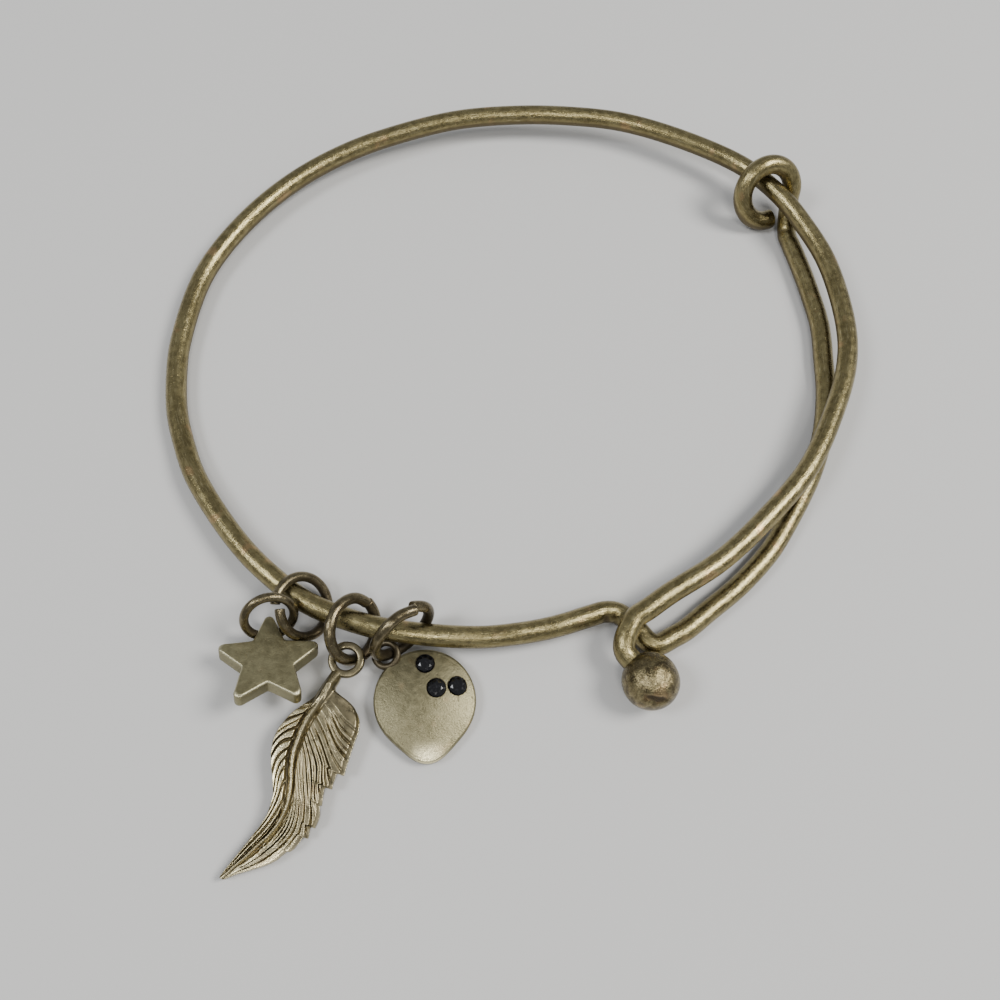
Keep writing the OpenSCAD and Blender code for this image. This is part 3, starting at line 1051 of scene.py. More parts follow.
@dataclass
class JumpRing:
    """A jump ring bent from round wire, with its two cut ends.

    Its angles are degrees from its lowest point. At the cut, spring parts the ends along the
    ring's axis, and the steps bend them apart over the last degrees.
    """

    name: str
    hole: float
    wire: float
    lean: float
    face: float
    cut_at: float
    cut: float = 0.22
    spring: float = 0.0
    step_out: float = 0.0
    step_side: float = 0.0
    step_reach: float = 32.0
    sides: int = 28
    rows: int = 220
    bevel: float = 0.1
    # The inner side is darker and the outer side lighter: partly tarnish and wear, partly painted
    # shade inside and a painted highlight outside
    wear: float = 0.28
    rub: float = 0.26
    centre: Array = field(default_factory=lambda: np.zeros(3))

    @property
    def mean_r(self) -> float:
        """Radius of the ring's middle line."""
        return (self.hole + self.wire) / 2

    def way(self, angle: float | Array) -> Array:
        """Return the way from the centre to an angle."""
        return ring_way(self.lean, self.face, angle)

    def point(self, angle: float) -> Array:
        """Return a point of the ring's middle line."""
        return self.centre + self.mean_r * self.way(angle)

    def hang(
        self, layout: Layout, turn: float, reach: float, swing: float, slack: float
    ) -> None:
        """Stand the ring on the surface with the bangle's wire through it.

        Args:
            layout: The bangle's layout.
            turn: Turn of the place on the wire.
            reach: Share of the oval's half axes there.
            swing: Angle of the ring that lies beside the wire.
            slack: Share of its room by which the ring is off the wire.
        """
        room = self.hole / 2 - layout.wire_r
        self.centre = layout.oval(turn, reach, 0) - slack * room * self.way(swing)
        self.centre[2] = self.wire / 2 + self.mean_r * math.sin(math.radians(self.lean))

    def link(self, other: "JumpRing", swing: float, slack: float) -> None:
        """Hang the ring on another one's cut ends.

        Args:
            other: The other ring.
            swing: Angle of this ring that lies beside the ends.
            slack: Share of its room by which this ring is off them.
        """
        room = (self.hole - other.wire) / 2
        self.centre = other.point(other.cut_at) - slack * room * self.way(swing)

    def build(self) -> bpy.types.Object:
        """Build the ring.

        Returns:
            The bent wire.
        """
        half_cut = math.degrees(math.asin(self.cut / 2 / self.mean_r))
        length = math.radians(360 - 2 * half_cut) * self.mean_r
        places = end_rows(length, length / self.rows, self.bevel)
        share = places / length
        way = self.way(self.cut_at + half_cut + share * (360 - 2 * half_cut))
        axis = np.cross(self.way(0.0), self.way(90.0))
        near_start = 1 - smooth(0, self.step_reach, share * 360)
        near_end = 1 - smooth(0, self.step_reach, (1 - share) * 360)
        ends = (near_start - near_end) / 2
        shift = self.spring * (0.5 - share) + self.step_side * ends
        reach = self.mean_r + self.step_out * ends
        line = self.centre + reach[:, None] * way + shift[:, None] * axis
        b = turns(self.sides)
        radius = self.wire / 2 - cut_edge(places, length, self.bevel)[:, None, None]
        round_way = np.cos(b)[:, None] * way[:, None] + np.sin(b)[:, None] * axis
        grain = spread(places[:, None], np.sin(b)[None], np.cos(b)[None])
        # Painted shade on the inner side and a painted highlight on the outer side, over the
        # ring's wear
        relief = np.broadcast_to(self.wear + self.rub * np.cos(b), grain.shape[:2])
        maker = Metal(self.name)
        maker.skin(line[:, None] + radius * round_way, relief, grain)
        return maker.build()


@dataclass
class Star:
    """The thick star with a bore from side to side through its top tip."""

    at: Array
    along: Array
    pose: Vector3 = (-17.5, 6.0, 4.6)
    tip: float = 5.1
    notch: float = 2.3
    thick: float = 1.65
    tip_round: float = 0.45
    notch_round: float = 0.32
    bevel: float = 0.24
    bevel_steps: int = 7
    hole: float = 1.3
    bore_length: float = 12.0
    cover: float = 0.85
    tips: int = 5
    tip_steps: int = 12
    notch_steps: int = 6
    edge_steps: int = 6
    edge_points: int = 4
    under_wear: float = 0.5
    side_wear: float = 0.45
    # The rounded top edge is painted lighter towards its middle: partly wear, partly a painted
    # highlight
    edge_wear: float = 0.46
    edge_rub_and_highlight: float = 0.3
    face_wear: float = 0.52
    sharp: float = 50.0

    @property
    def half_angle(self) -> float:
        """Half the angle of a tip, in radians."""
        a = math.pi / self.tips
        return math.atan(self.notch * math.sin(a) / (self.tip - self.notch * math.cos(a)))

    @property
    def reach(self) -> float:
        """Way from the star's middle to its bore."""
        rounded = self.tip - self.tip_round * (1 / math.sin(self.half_angle) - 1)
        return rounded - self.cover - self.hole / 2

    @property
    def half_bore(self) -> float:
        """Half the length of the bore."""
        return (self.tip - self.reach) * math.tan(self.half_angle)

    @classmethod
    def hung(cls, ring: JumpRing, angle: float) -> "Star":
        """Hang a star with its bore along its ring.

        Args:
            ring: The ring.
            angle: Degrees from the ring's lowest point.

        Returns:
            The star.
        """
        star = cls(np.zeros(3), ring.way(angle + 90))
        bow = ring.mean_r - math.sqrt(ring.mean_r**2 - star.half_bore**2)
        star.at = ring.centre + (ring.mean_r - bow / 2) * ring.way(angle)
        return star

    def outline(self) -> Array:
        """Round the star's outline.

        Returns:
            Its points, the first tip along +Y.
        """
        corners = []
        for i in range(2 * self.tips):
            a = math.pi / 2 + math.pi * i / self.tips
            far = self.notch if i % 2 else self.tip
            corners.append(far * np.array([math.cos(a), math.sin(a)]))
        points = []
        for i, p in enumerate(corners):
            following = corners[(i + 1) % len(corners)]
            to_a, to_b = unit(corners[i - 1] - p), unit(following - p)
            radius = self.notch_round if i % 2 else self.tip_round
            steps = self.notch_steps if i % 2 else self.tip_steps
            bend = math.acos(float(to_a @ to_b)) / 2
            centre = p + radius / math.sin(bend) * unit(to_a + to_b)
            start = p + radius / math.tan(bend) * to_a - centre
            stop = p + radius / math.tan(bend) * to_b - centre
            points += [
                centre + radius * unit(start + (stop - start) * k / steps)
                for k in range(steps + 1)
            ]
            leave = centre + stop
            points += [
                leave + (following - leave) * k / self.edge_steps
                for k in range(1, self.edge_points + 1)
            ]
        return np.array(points)

    def build(self) -> bpy.types.Object:
        """Build the star.

        Returns:
            The bevelled, drilled star.
        """
        edge = self.outline()
        flat = 1 - self.bevel / self.notch
        inner = (0.02, 0.3, 0.62, 0.86)
        bevel = [
            (1 - self.bevel * (1 - math.sin(a)) / self.notch, self.bevel * (1 - math.cos(a)), a)
            for a in np.linspace(0, np.pi / 2, self.bevel_steps)
        ]
        rows = [(s * flat, 0.0, self.under_wear) for s in inner]
        rows += [(s, z, self.side_wear) for s, z, _ in bevel]
        # The rounded top edge: wear and a painted highlight
        rows += [
            (s, self.thick - z, self.edge_wear + self.edge_rub_and_highlight * math.sin(2 * a))
            for s, z, a in reversed(bevel)
        ]
        rows += [(s * flat, self.thick, self.face_wear) for s in reversed(inner)]
        pose = Pose.turned(self.at, *self.pose)
        loops, relief = [], []
        for share, z, wear in rows:
            points = np.column_stack([edge * share, np.full(len(edge), z)])
            loops.append(pose.put(points - [0, self.reach, self.thick / 2]))
            relief.append(np.full(len(edge), wear))
        maker = Metal("star")
        maker.skin(np.array(loops), np.array(relief))
        star = maker.build(self.sharp)
        drilled(star, [Bore("star_bore", self.at, self.along, self.hole / 2, self.bore_length)])
        soften(star, self.sharp)
        return star


@dataclass
class Feather:
    """The cast feather: a shaft between two vanes of swept barbs, and an eye.

    x is a place along it in its own lengths. Across it, part runs from 0 at the shaft to 1 at
    the right edge and -1 at the left one.
    """

    at: Array
    aim: float = -117.0
    length: float = 19.9
    width: float = 6.8
    thick: float = 0.9
    rows: int = 520
    across: int = 124
    sharp: float = 60.0
    seed: int = 7
    # Along the feather in lengths; shaft, left and right edge off its middle in widths
    outline: tuple = (
        (0.06, -0.02, -0.09, 0.05), (0.1, -0.02, -0.1, 0.06), (0.132, -0.02, -0.108, 0.066),
        (0.138, -0.02, -0.11, 0.08), (0.152, -0.022, -0.112, 0.3),
        (0.175, -0.024, -0.114, 0.44), (0.2, -0.028, -0.12, 0.52), (0.235, -0.035, -0.17, 0.575),
        (0.29, -0.045, -0.255, 0.605), (0.345, -0.035, -0.3, 0.635),
        (0.395, -0.01, -0.318, 0.665), (0.424, 0.005, -0.31, 0.685), (0.495, 0.09, -0.23, 0.65),
        (0.55, 0.18, -0.12, 0.65), (0.61, 0.25, 0.01, 0.67), (0.662, 0.28, 0.07, 0.685),
        (0.71, 0.28, 0.09, 0.67), (0.758, 0.255, 0.085, 0.605), (0.816, 0.2, 0.055, 0.51),
        (0.87, 0.145, 0.025, 0.405), (0.92, 0.085, 0.0, 0.26), (0.965, 0.035, -0.02, 0.12),
        (1.0, 0.0, -0.03, 0.03),
    )
    # Steps between the barbs' ends on the right edge: start, depth in widths, length
    notches: tuple = (
        (0.428, 0.1, 0.08), (0.498, 0.105, 0.11), (0.574, 0.03, 0.05), (0.664, 0.07, 0.045),
        (0.712, 0.06, 0.06), (0.79, 0.03, 0.05),
    )
    notch_step: float = 0.08
    notch_from: float = 0.55
    lead: float = 0.11
    # Barbs: step at the shaft, how they sweep back, and where the tail straightens them
    barb_step: float = 0.0235
    left_wider: float = 1.8
    sweep_power: float = 1.25
    right_start: float = 0.15
    right_sweep: float = 1.7
    left_start: float = 0.05
    left_sweep: float = 0.3
    tail: float = 0.5
    tail_full: float = 0.9
    tail_hold: float = 0.34
    tail_held: float = 1.15
    barb_draws: int = 128
    # Where the first barbs grow in
    first_barbs: tuple = (0.04, 0.12)
    # Depth and half widths of the grooves, each with what the tail adds
    right_depth: tuple = (0.75, 0.25)
    right_groove: tuple = (0.11, 0.32)
    left_groove: tuple = (0.13, 0.1)
    # How far out a right groove fades in: at least, by its own draw, and among the first barbs
    fade_least: float = 0.12
    fade_drawn: float = 0.4
    fade_first: float = 0.4
    # Slow waves in the barbs: size, and turns for each unit of part and root
    waves: tuple = ((0.16, 4, 31), (0.1, 9, -17))
    # Towards the tip some barbs end: one of how many, which, and from where to where
    ends: tuple = ((2, 1, 0.5, 0.62), (4, 2, 0.7, 0.82))
    # A finer line on each barb, as the caster cut it
    fine_depth: float = 0.36
    fine_half: float = 0.16
    fine_place: float = 0.4
    fine_share: float = 0.35
    fine_out: tuple = (0.3, 0.5)
    fine_end: float = 0.6
    # Where the stem grows out of the eye and the vanes begin, and how the relief ends at the tip
    root_share: float = 0.35
    root_long: float = 0.06
    vane_grows: tuple = (0.14, 0.24)
    left_lag: float = 0.05
    tip_fade: float = 5.0
    tip_share: float = 0.2
    # Heights and half widths of the shaft, the bare stem, the gutter beside it and the barbs
    shaft: float = 0.5
    shaft_half: float = 0.27
    shaft_taper: float = 0.6
    stem_half: float = 0.42
    gutter_out: float = 1.75
    gutter_half: float = 0.1
    gutter_deep: float = 1.1
    gutter_right: float = 0.5
    gutter_tail: float = 0.6
    gutter_end: float = 0.75
    stem_high: float = 0.75
    barb_high: float = 0.3
    barb_sunk: float = 0.25
    # The stem's crown, and how low and how round the rim is
    crown_power: float = 2.6
    crown_high: float = 0.15
    rim_low: float = 0.12
    rim_round: float = 0.7
    rim_from: float = 0.9
    # Wear of each stretch, what rubbing adds on the rim, and the painted highlights on the left
    # vane's and the tail's barbs
    groove_wear: float = 0.12
    barb_wear: float = 0.5
    shade_wear: float = 0.1
    stem_wear: float = 0.5
    shaft_wear: float = 0.7
    rim_wear: float = 0.8
    rim_rubbed: tuple = (0.94, 0.985)
    under_wear: float = 0.4
    gutter_tarnish: float = 0.9
    left_highlight: float = 0.24
    tail_highlight: float = 0.2
    tail_highlight_grows: tuple = (0.6, 0.8)
    barb_highlight_step: tuple = (0.4, 0.9)
    # Places across it: the rounded rim, where the even ones start, and those of the underside
    rim: tuple = (1, 0.992, 0.975, 0.95)
    even_from: float = 0.92
    under: tuple = (-1, -0.9, -0.6, -0.3, 0, 0.3, 0.6, 0.9, 1.0)
    # How the underside rises to the rim: places across it and heights
    under_at: tuple = (0, 0.8, 0.9, 1)
    under_lift: tuple = (0, 0, 0.03, 0.16)
    eye_hole: float = 1.8
    eye_wire: float = 0.7
    eye_square: float = 0.62
    eye_clear: float = 0.97
    eye_sides: int = 72
    eye_wire_sides: int = 28

    @property
    def start(self) -> float:
        """Where the stem leaves the eye."""
        return self.outline[0][0]

    def share(self, s: Array) -> Array:
        """Return shares of the way from the stem's start to the tip."""
        return (s - self.start) / (1 - self.start)

    def notch(self, x: Array) -> Array:
        """Step the right edge in between the barbs' ends.

        Args:
            x: Places along the feather.

        Returns:
            How far the edge steps in, in widths.
        """
        inward = np.zeros_like(x)
        for start, depth, length in self.notches:
            ahead = (x - start) / length
            inward += depth * smooth(0, self.notch_step, ahead) * np.clip(1 - ahead, 0, 1)
        return inward

    def laid(self, s: Array, part: Array) -> tuple[Array, Array]:
        """Lay out points between the shaft and the edges.

        Args:
            s: Where each row leaves the shaft.
            part: Places across the feather.

        Returns:
            The points along the feather in lengths, and across it in widths.
        """
        x = s + self.lead * np.sin(np.pi * self.share(s)) * np.abs(part)
        middle = column(self.outline, 1, s)
        side = np.where(part > 0, column(self.outline, 3, x), column(self.outline, 2, x))
        y = middle + (side - middle) * np.abs(part)
        return x, y - self.notch(x) * smooth(self.notch_from, 1, part)

    def barbs(self, x: Array, part: Array) -> tuple[Array, Array]:
        """Lay out the barbs on both vanes.

        Args:
            x: Places along the feather.
            part: Places across it.

        Returns:
            Height of the barbs, 0 in a groove and 1 on a barb, and each barb's own shade.
        """
        right_side = part > 0
        sweep = np.abs(part) ** self.sweep_power
        # Past the widest place the barbs run along the shaft to the tip
        pull = smooth(self.tail, self.tail_held, x)
        held = x - self.tail_hold * pull * (x - self.tail) / (1 - self.tail)
        right = (held - self.right_start) / (1 + self.right_sweep * sweep)
        left = (held - self.left_start * sweep) / (1 + self.left_sweep * sweep)
        root = np.where(right_side, right, left)
        phase = root / np.where(right_side, self.barb_step, self.barb_step * self.left_wider)
        for size, by_part, by_root in self.waves:
            phase = phase + size * np.sin(by_part * part + by_root * root)
        number = np.floor(phase).astype(int)
        rng = np.random.default_rng(self.seed)

        def drawn() -> Array:
            """Return a random share for each barb."""
            return rng.random(self.barb_draws)[number % self.barb_draws]

        def grown(least: float, more: float) -> Array:
            """Return a value with what the tail adds to it."""
            return least + more * smooth(self.tail, self.tail_full, x)

        first = smooth(*self.first_barbs, root)
        depth = 0.5 + 0.5 * drawn()
        shade = drawn()
        reach = self.fade_least + self.fade_drawn * drawn() + self.fade_first * (1 - first)
        depth = depth * (0.5 + 0.5 * first)
        for count, which, low, high in self.ends:
            ending = (number % count == which) & right_side
            depth = depth * np.where(ending, 1 - smooth(low, high, x), 1)
        # The right vane is cut finer than the left one and the tail
        depth = depth * np.where(right_side, grown(*self.right_depth), 1)
        narrow = np.where(right_side, grown(*self.right_groove), grown(*self.left_groove))
        begins = np.where(right_side, smooth(0, 1, np.abs(part) / reach), 1)
        groove = bell((phase - number - 0.5) / narrow) * depth * begins
        fine = bell(((phase * 2 + self.fine_place) % 1 - 0.5) / self.fine_half) * self.fine_depth
        fine = fine * smooth(*self.fine_out, part) * (shade > self.fine_share)
        fine = fine * (1 - smooth(self.tail, self.fine_end, x))
        return 1 - np.clip(groove + fine, 0, 1), shade

    def relief(self, s: Array, part: Array) -> tuple[Array, Array]:
        """Work out the feather's upper side.

        Args:
            s: Where each row leaves the shaft.
            part: Places across the feather.

        Returns:
            Points in the feather's own place, and their wear, with painted highlights on the left
            vane and the tail.
        """
        x, y = self.laid(s, part)
        left_side, away = part < 0, np.abs(part)
        from_shaft = np.abs(y - column(self.outline, 1, s)) * self.width
        barb, shade = self.barbs(x, part)
        vane = smooth(*self.vane_grows, x - self.left_lag * left_side)
        half = self.shaft_half * (1 - self.shaft_taper * self.share(s))
        spine = bell(from_shaft / half, power=3)
        bare = bell(from_shaft / self.stem_half, power=4) * (1 - vane)
        gutter = bell((from_shaft - self.gutter_out * half) / self.gutter_half) * vane
        shallower = 1 - self.gutter_tail * smooth(self.tail, self.gutter_end, x)
        gutter = gutter * np.where(left_side, 1, self.gutter_right) * shallower
        # The barbs' grooves end at the gutter
        barb = 1 - (1 - barb) * (1 - gutter)
        crown = 1 - away**self.crown_power

        rise = self.shaft * np.maximum(spine * (0.5 + 0.5 * vane), bare * self.stem_high)
        cut = barb - self.barb_sunk - self.gutter_deep * gutter
        rise = rise + vane * (1 - spine) * self.barb_high * cut
        rise = rise + (1 - vane) * self.crown_high * crown - self.rim_low * (1 - crown)
        # The relief dies out at the tip, and the rim is rounded down
        fade = np.clip(self.tip_fade * (1 - s) + self.tip_share, 0, 1)
        z = self.root(s) * (self.thick / 2 + fade * rise)
        z = z * (1 - self.rim_round * smooth(self.rim_from, 1.0, away) ** 2)

        wear = self.groove_wear + self.barb_wear * barb + self.shade_wear * (shade - 0.5)
        wear = vane * wear + (1 - vane) * self.stem_wear
        # The left vane and the tail are painted brighter on their barbs, as painted highlights,
        # and the right rim is brighter from wear
        vane_highlight = np.where(left_side, self.left_highlight, self.tail_highlight * smooth(*self.tail_highlight_grows, x))
        wear = wear + vane_highlight * vane * smooth(*self.barb_highlight_step, barb)
        wear = wear * (1 - self.gutter_tarnish * gutter) * (1 - spine) + spine * self.shaft_wear
        wear = np.maximum(wear, self.rim_wear * smooth(*self.rim_rubbed, part))
        wear = np.clip(np.where(part < -self.rim_rubbed[1], self.under_wear, wear), 0, 1)
        return spread(x * self.length, y * self.width, z), wear

    def root(self, s: Array) -> Array:
        """Return the share of the full thickness where the stem grows out of the eye."""
        grown = (1 - self.root_share) * (s - self.start) / self.root_long
        return np.clip(self.root_share + grown, 0, 1)

    def build(self) -> bpy.types.Object:
        """Build the feather with its eye.

        Returns:
            The feather, its eye in its ring and its tip on the surface.
        """
        s = np.linspace(self.start, 1, self.rows)[:, None]
        rim = np.array(self.rim)
        even = np.linspace(self.even_from, -self.even_from, self.across)
        part = np.concatenate([rim, even, -rim[::-1]])[None]
        top, wear = self.relief(s, part)
        under = np.array(self.under)[None]
        x, y = self.laid(s, under)
        lift = np.interp(np.abs(under), self.under_at, self.under_lift)
        low = spread(x * self.length, y * self.width, self.root(s) * (lift - self.thick / 2))
        loops = np.concatenate([top, low], axis=1)
        worn_and_highlight = np.concatenate([wear, np.full(y.shape, self.under_wear)], axis=1)
        drop = math.degrees(math.asin((self.at[2] - self.thick / 2) / self.length))
        pose = Pose.turned(self.at, 0, drop, self.aim)
        maker = Metal("feather")
        maker.skin(pose.put(loops), worn_and_highlight, loops)
        self.eye(maker, pose)
        return maker.build(self.sharp)

    def eye(self, maker: Metal, pose: Pose) -> None:
        """Add the eye: a flat ring with rounded edges, cast in one with the stem.

        Args:
            maker: The feather's mesh.
            pose: Place of the feather.
        """
        mean_r = (self.eye_hole + self.eye_wire) / 2
        half = self.eye_wire / 2
        a, b = turns(self.eye_sides)[:, None], turns(self.eye_wire_sides)[None]
        u, v = (
            np.sign(wave) * np.abs(wave) ** self.eye_square * half * self.eye_clear
            for wave in (np.cos(b), np.sin(b))
        )
        local = spread((mean_r + u) * np.cos(a), (mean_r + u) * np.sin(a), v)
        relief = np.broadcast_to(0.3 + 0.2 * smooth(0.0, 0.3, v) * (u > 0), local.shape[:2])
        maker.skin(pose.put(local), relief, closed=True)


@dataclass
class Petal:
    """The domed petal with a soldered loop and three stone seats."""

    at: Array
    ring_tangent: Array
    radius: float = 4.45
    point: float = 0.9
    power: float = 11.0
    thick: float = 1.15
    dome: float = 0.55
    bevel: float = 0.3
    bevel_steps: int = 8
    tip: float = -37.0
    aim: float = -48.0
    sides: int = 144
    dome_rows: int = 26
    sharp: float = 45.0
    under_wear: float = 0.4
    # The rounded top rim is painted lighter towards its middle: partly wear, partly a painted
    # highlight
    edge_wear: float = 0.44
    edge_rub_and_highlight: float = 0.14
    top_wear: float = 0.5
    # A painted highlight on the point, on the upper side towards the rim
    tip_highlight: float = 0.34
    tip_highlight_power: float = 24.0
    tip_highlight_from: float = 0.6
    loop_hole: float = 1.5
    loop_wire: float = 0.6
    loop_lift: float = 0.3
    loop_clear: float = 0.05
    loop_turn: float = 0.8
    # Painted shade: the loop is painted dark, for the shadow that it sits in
    loop_shade: float = 0.14
    # The loop's axis never runs this way
    loop_askew: Vector3 = (0.2, 0.9, 0.1)
    loop_sides: int = 72
    loop_wire_sides: int = 24
    # Each stone's place: share of the radius and turn in degrees
    stones: tuple = ((0.7, 140), (0.3, 95), (0.675, 72))
    stone_d: float = 1.6
    stone_gap: float = 0.06
    stone_sink: float = 0.12
    stone_depth: float = 0.7
    stone_crown: float = 0.25
    stone_girdle: float = 0.08
    stone_twist: float = 0.35
    place: Pose = field(init=False)

    def __post_init__(self) -> None:
        """Work out the petal's own place: its loop hangs in the ring and its far side rests."""
        reach = self.radius + self.loop_hole / 2 + self.loop_clear
        fall = self.at[2] - self.loop_lift - self.thick / 2
        drop = math.degrees(math.asin(fall / (reach + self.radius)))
        self.place = Pose.turned(self.at, 0, drop, self.aim)
        self.place.at = self.place.put(np.array([reach, 0, -self.loop_lift - self.thick / 2]))

    def pointed(self, angle: Array, power: float) -> Array:
        """Return 1 at the petal's point, falling off to its sides with a power."""
        return np.maximum(0, np.cos(angle - math.radians(self.tip))) ** power

    def top(self, share: float) -> float:
        """Return the height of the petal's top at a share of its radius."""
        return self.thick + self.dome * (1 - share * share)

    def seat(self, index: int) -> Array:
        """Find a stone's seat.

        Args:
            index: Number of the stone.

        Returns:
            The middle of its girdle in the petal's own place.
        """
        share, turn = self.stones[index]
        r, a = share * self.radius, math.radians(turn)
        return np.array([r * math.cos(a), r * math.sin(a), self.top(share) - self.stone_sink])

    def build(self) -> bpy.types.Object:
        """Build the petal with its seats.

        Returns:
            The petal without its loop and stones.
        """
        a = math.radians(self.tip) + turns(self.sides)
        full = self.radius + self.point * self.pointed(a, self.power)
        # Painted highlight, strongest at the point
        tip_highlight_by_angle = self.tip_highlight * self.pointed(a, self.tip_highlight_power)
        bevel = [
            (self.bevel * (1 - math.sin(t)), self.bevel * (1 - math.cos(t)), t)
            for t in np.linspace(0, np.pi / 2, self.bevel_steps)
        ]
        rows = [(share, self.bevel, 0.0, self.under_wear) for share in (0.02, 0.3, 0.6, 0.85)]
        rows += [(1, inset, z, self.under_wear) for inset, z, _ in bevel]
        # The rounded top rim: wear and a painted highlight
        rows += [
            (1, inset, self.thick - z, self.edge_wear + self.edge_rub_and_highlight * math.sin(2 * t))
            for inset, z, t in reversed(bevel)
        ]
        rows += [
            (share, self.bevel, self.top(share), self.top_wear)
            for share in np.linspace(0.97, 0.02, self.dome_rows)
        ]
        loops, relief = [], []
        for share, inset, z, wear in rows:
            r = share * (full - inset)
            loops.append(self.place.put(spread(r * np.cos(a), r * np.sin(a), np.array(z))))
            # The painted highlight on the point lies on the upper rows, towards the rim
            tip_highlight = tip_highlight_by_angle * (z > self.thick / 2) * smooth(self.tip_highlight_from, 1, np.array(share))
            relief.append(wear + tip_highlight)
        maker = Metal("petal")
        maker.skin(np.array(loops), np.clip(np.array(relief), 0, 1))
        petal = maker.build(self.sharp)
        # A seat's cutter is long enough to clear the dome
        long, bore_r = 2.0, self.stone_d / 2 + self.stone_gap
        up = [0, 0, long / 2 - self.stone_depth - self.stone_gap]
        drilled(petal, [
            Bore(f"seat_{i}", self.place.put(self.seat(i) + up), self.place.z, bore_r, long)
            for i in range(len(self.stones))
        ])
        soften(petal, self.sharp)
        return petal

    def loop(self) -> bpy.types.Object:
        """Build the soldered loop.

        Returns:
            A round ring through the jump ring.
        """
        axis = unit(np.array([0, 0, 1.0]) - self.loop_turn * self.ring_tangent)
        side = unit(np.cross(axis, self.loop_askew))
        up = np.cross(side, axis)
        a = turns(self.loop_sides)[:, None, None]
        b = turns(self.loop_wire_sides)[None, :, None]
        mean_r, r = (self.loop_hole + self.loop_wire) / 2, self.loop_wire / 2
        loops = self.at + (np.cos(a) * side + np.sin(a) * up) * (mean_r + r * np.cos(b))
        loops = loops + axis * (r * np.sin(b))
        maker = Metal("petal_loop")
        # Painted shade: the loop's low relief gives it the dark groove colour
        maker.skin(loops, np.full(loops.shape[:2], self.loop_shade), closed=True)
        return maker.build()

    def stone(self, index: int) -> bpy.types.Object:
        """Cut one stone: table, star, kite and girdle facets over a pointed back.

        Args:
            index: Number of the stone.

        Returns:
            The stone in its seat.
        """
        r, girdle, depth = self.stone_d / 2, self.stone_girdle, self.stone_depth
        crown = self.stone_crown
        # Share of the radius, height, corners and turn by a share of a corner
        rings = (
            (0.56, girdle + crown, 8, 0.0), (0.8, girdle + 0.62 * crown, 8, 0.5),
            (1.0, girdle, 16, 0.0), (1.0, 0.0, 16, 0.0),
            (0.55, -0.55 * depth, 8, 0.5), (0.06, -depth, 8, 0.0),
        )
        points = []
        for share, z, count, skew in rings:
            for k in range(count):
                a = 2 * math.pi * (k + skew) / count + self.stone_twist * index
                points.append([share * r * math.cos(a), share * r * math.sin(a), z])
        work = bmesh.new()
        for p in self.place.put(np.array(points) + self.seat(index)):
            work.verts.new(p * MM)
        bmesh.ops.convex_hull(work, input=work.verts)
        flat = math.radians(1)
        bmesh.ops.dissolve_limit(work, angle_limit=flat, verts=work.verts, edges=work.edges)
        bmesh.ops.recalc_face_normals(work, faces=work.faces)
        mesh = bpy.data.meshes.new(f"cut_stone_{index + 1}")
        work.to_mesh(mesh)
        work.free()
        return linked(mesh.name, mesh)


# The room round the part


@dataclass
class Studio:
    """Plain pale floor, soft lights and the camera above the near side."""

    eye: Vector3 = (-7.27, -53.09, 87.91)
    right: Vector3 = (0.99764, 0.0, 0.06867)
    up: Vector3 = (-0.02679, 0.92079, 0.38914)
    back: Vector3 = (-0.06323, -0.39006, 0.91862)
    # As long as the frame is wide
    lens: float = 36.0
    clip_near: float = 0.002
    clip_far: float = 20.0
    floor_half: float = 1.5
    floor_colour: Colour = (0.6, 0.595, 0.585)
    floor_rough: float = 0.85
    air: Colour = (0.9, 0.92, 0.94)
    air_power: float = 0.42
    # Name, place in metres, size in metres, power in watts, colour
    lamps: tuple = (
        ("key", (0.32, 0.0, 0.42), 0.22, 2.3, (1.0, 0.985, 0.95)),
        ("fill", (-0.34, -0.08, 0.44), 0.18, 1.2, (0.95, 0.97, 1.0)),
        ("front", (0.0, -0.28, 0.46), 0.12, 0.6, (1.0, 0.98, 0.94)),
    )

    @staticmethod
    def aimed(at: Sequence[float], axes: Sequence[Sequence[float]]) -> Matrix:
        """Return the placing of a thing from its place and its right, up and back axes."""
        return Matrix.Translation(at) @ Matrix(axes).transposed().to_4x4()

    def camera(self) -> None:
        """Set up the camera."""
        lens = bpy.data.cameras.new("camera")
        lens.lens = lens.sensor_width = self.lens
        lens.clip_start, lens.clip_end = self.clip_near, self.clip_far
        camera = linked("camera", lens)
        at = [c * MM for c in self.eye]
        camera.matrix_world = self.aimed(at, (self.right, self.up, self.back))
        bpy.context.scene.camera = camera

    def floor(self) -> None:
        """Lay the pale floor."""
        half = self.floor_half
        mesh = bpy.data.meshes.new("floor")
        corners = [(-half, -half, 0), (half, -half, 0), (half, half, 0), (-half, half, 0)]
        mesh.from_pydata(corners, [], [(0, 1, 2, 3)])
        values = {"Base Color": (*self.floor_colour, 1), "Roughness": self.floor_rough}
        mesh.materials.append(Tree("pale_floor").surface(values))
        linked("floor", mesh)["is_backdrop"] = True

    def lights(self) -> None:
        """Hang the soft lights and set the pale surroundings."""
        world = bpy.data.worlds.new("room")
        bpy.context.scene.world = world
        world.use_nodes = True
        background = world.node_tree.nodes["Background"]
        background.inputs["Color"].default_value = (*self.air, 1)
        background.inputs["Strength"].default_value = self.air_power
        for name, at, size, power, colour in self.lamps:
            lamp = bpy.data.lights.new(name, "AREA")
            lamp.shape, lamp.size = "DISK", size
            lamp.energy, lamp.color = power, colour
            back = unit(np.array(at))
            side = unit(np.cross([0, 0, 1], back))
            axes = [v.tolist() for v in (side, np.cross(back, side), back)]
            linked(name, lamp).matrix_world = self.aimed(at, axes)

    def build(self) -> None:
        """Set up the whole room."""
        self.camera()
        self.floor()
        self.lights()


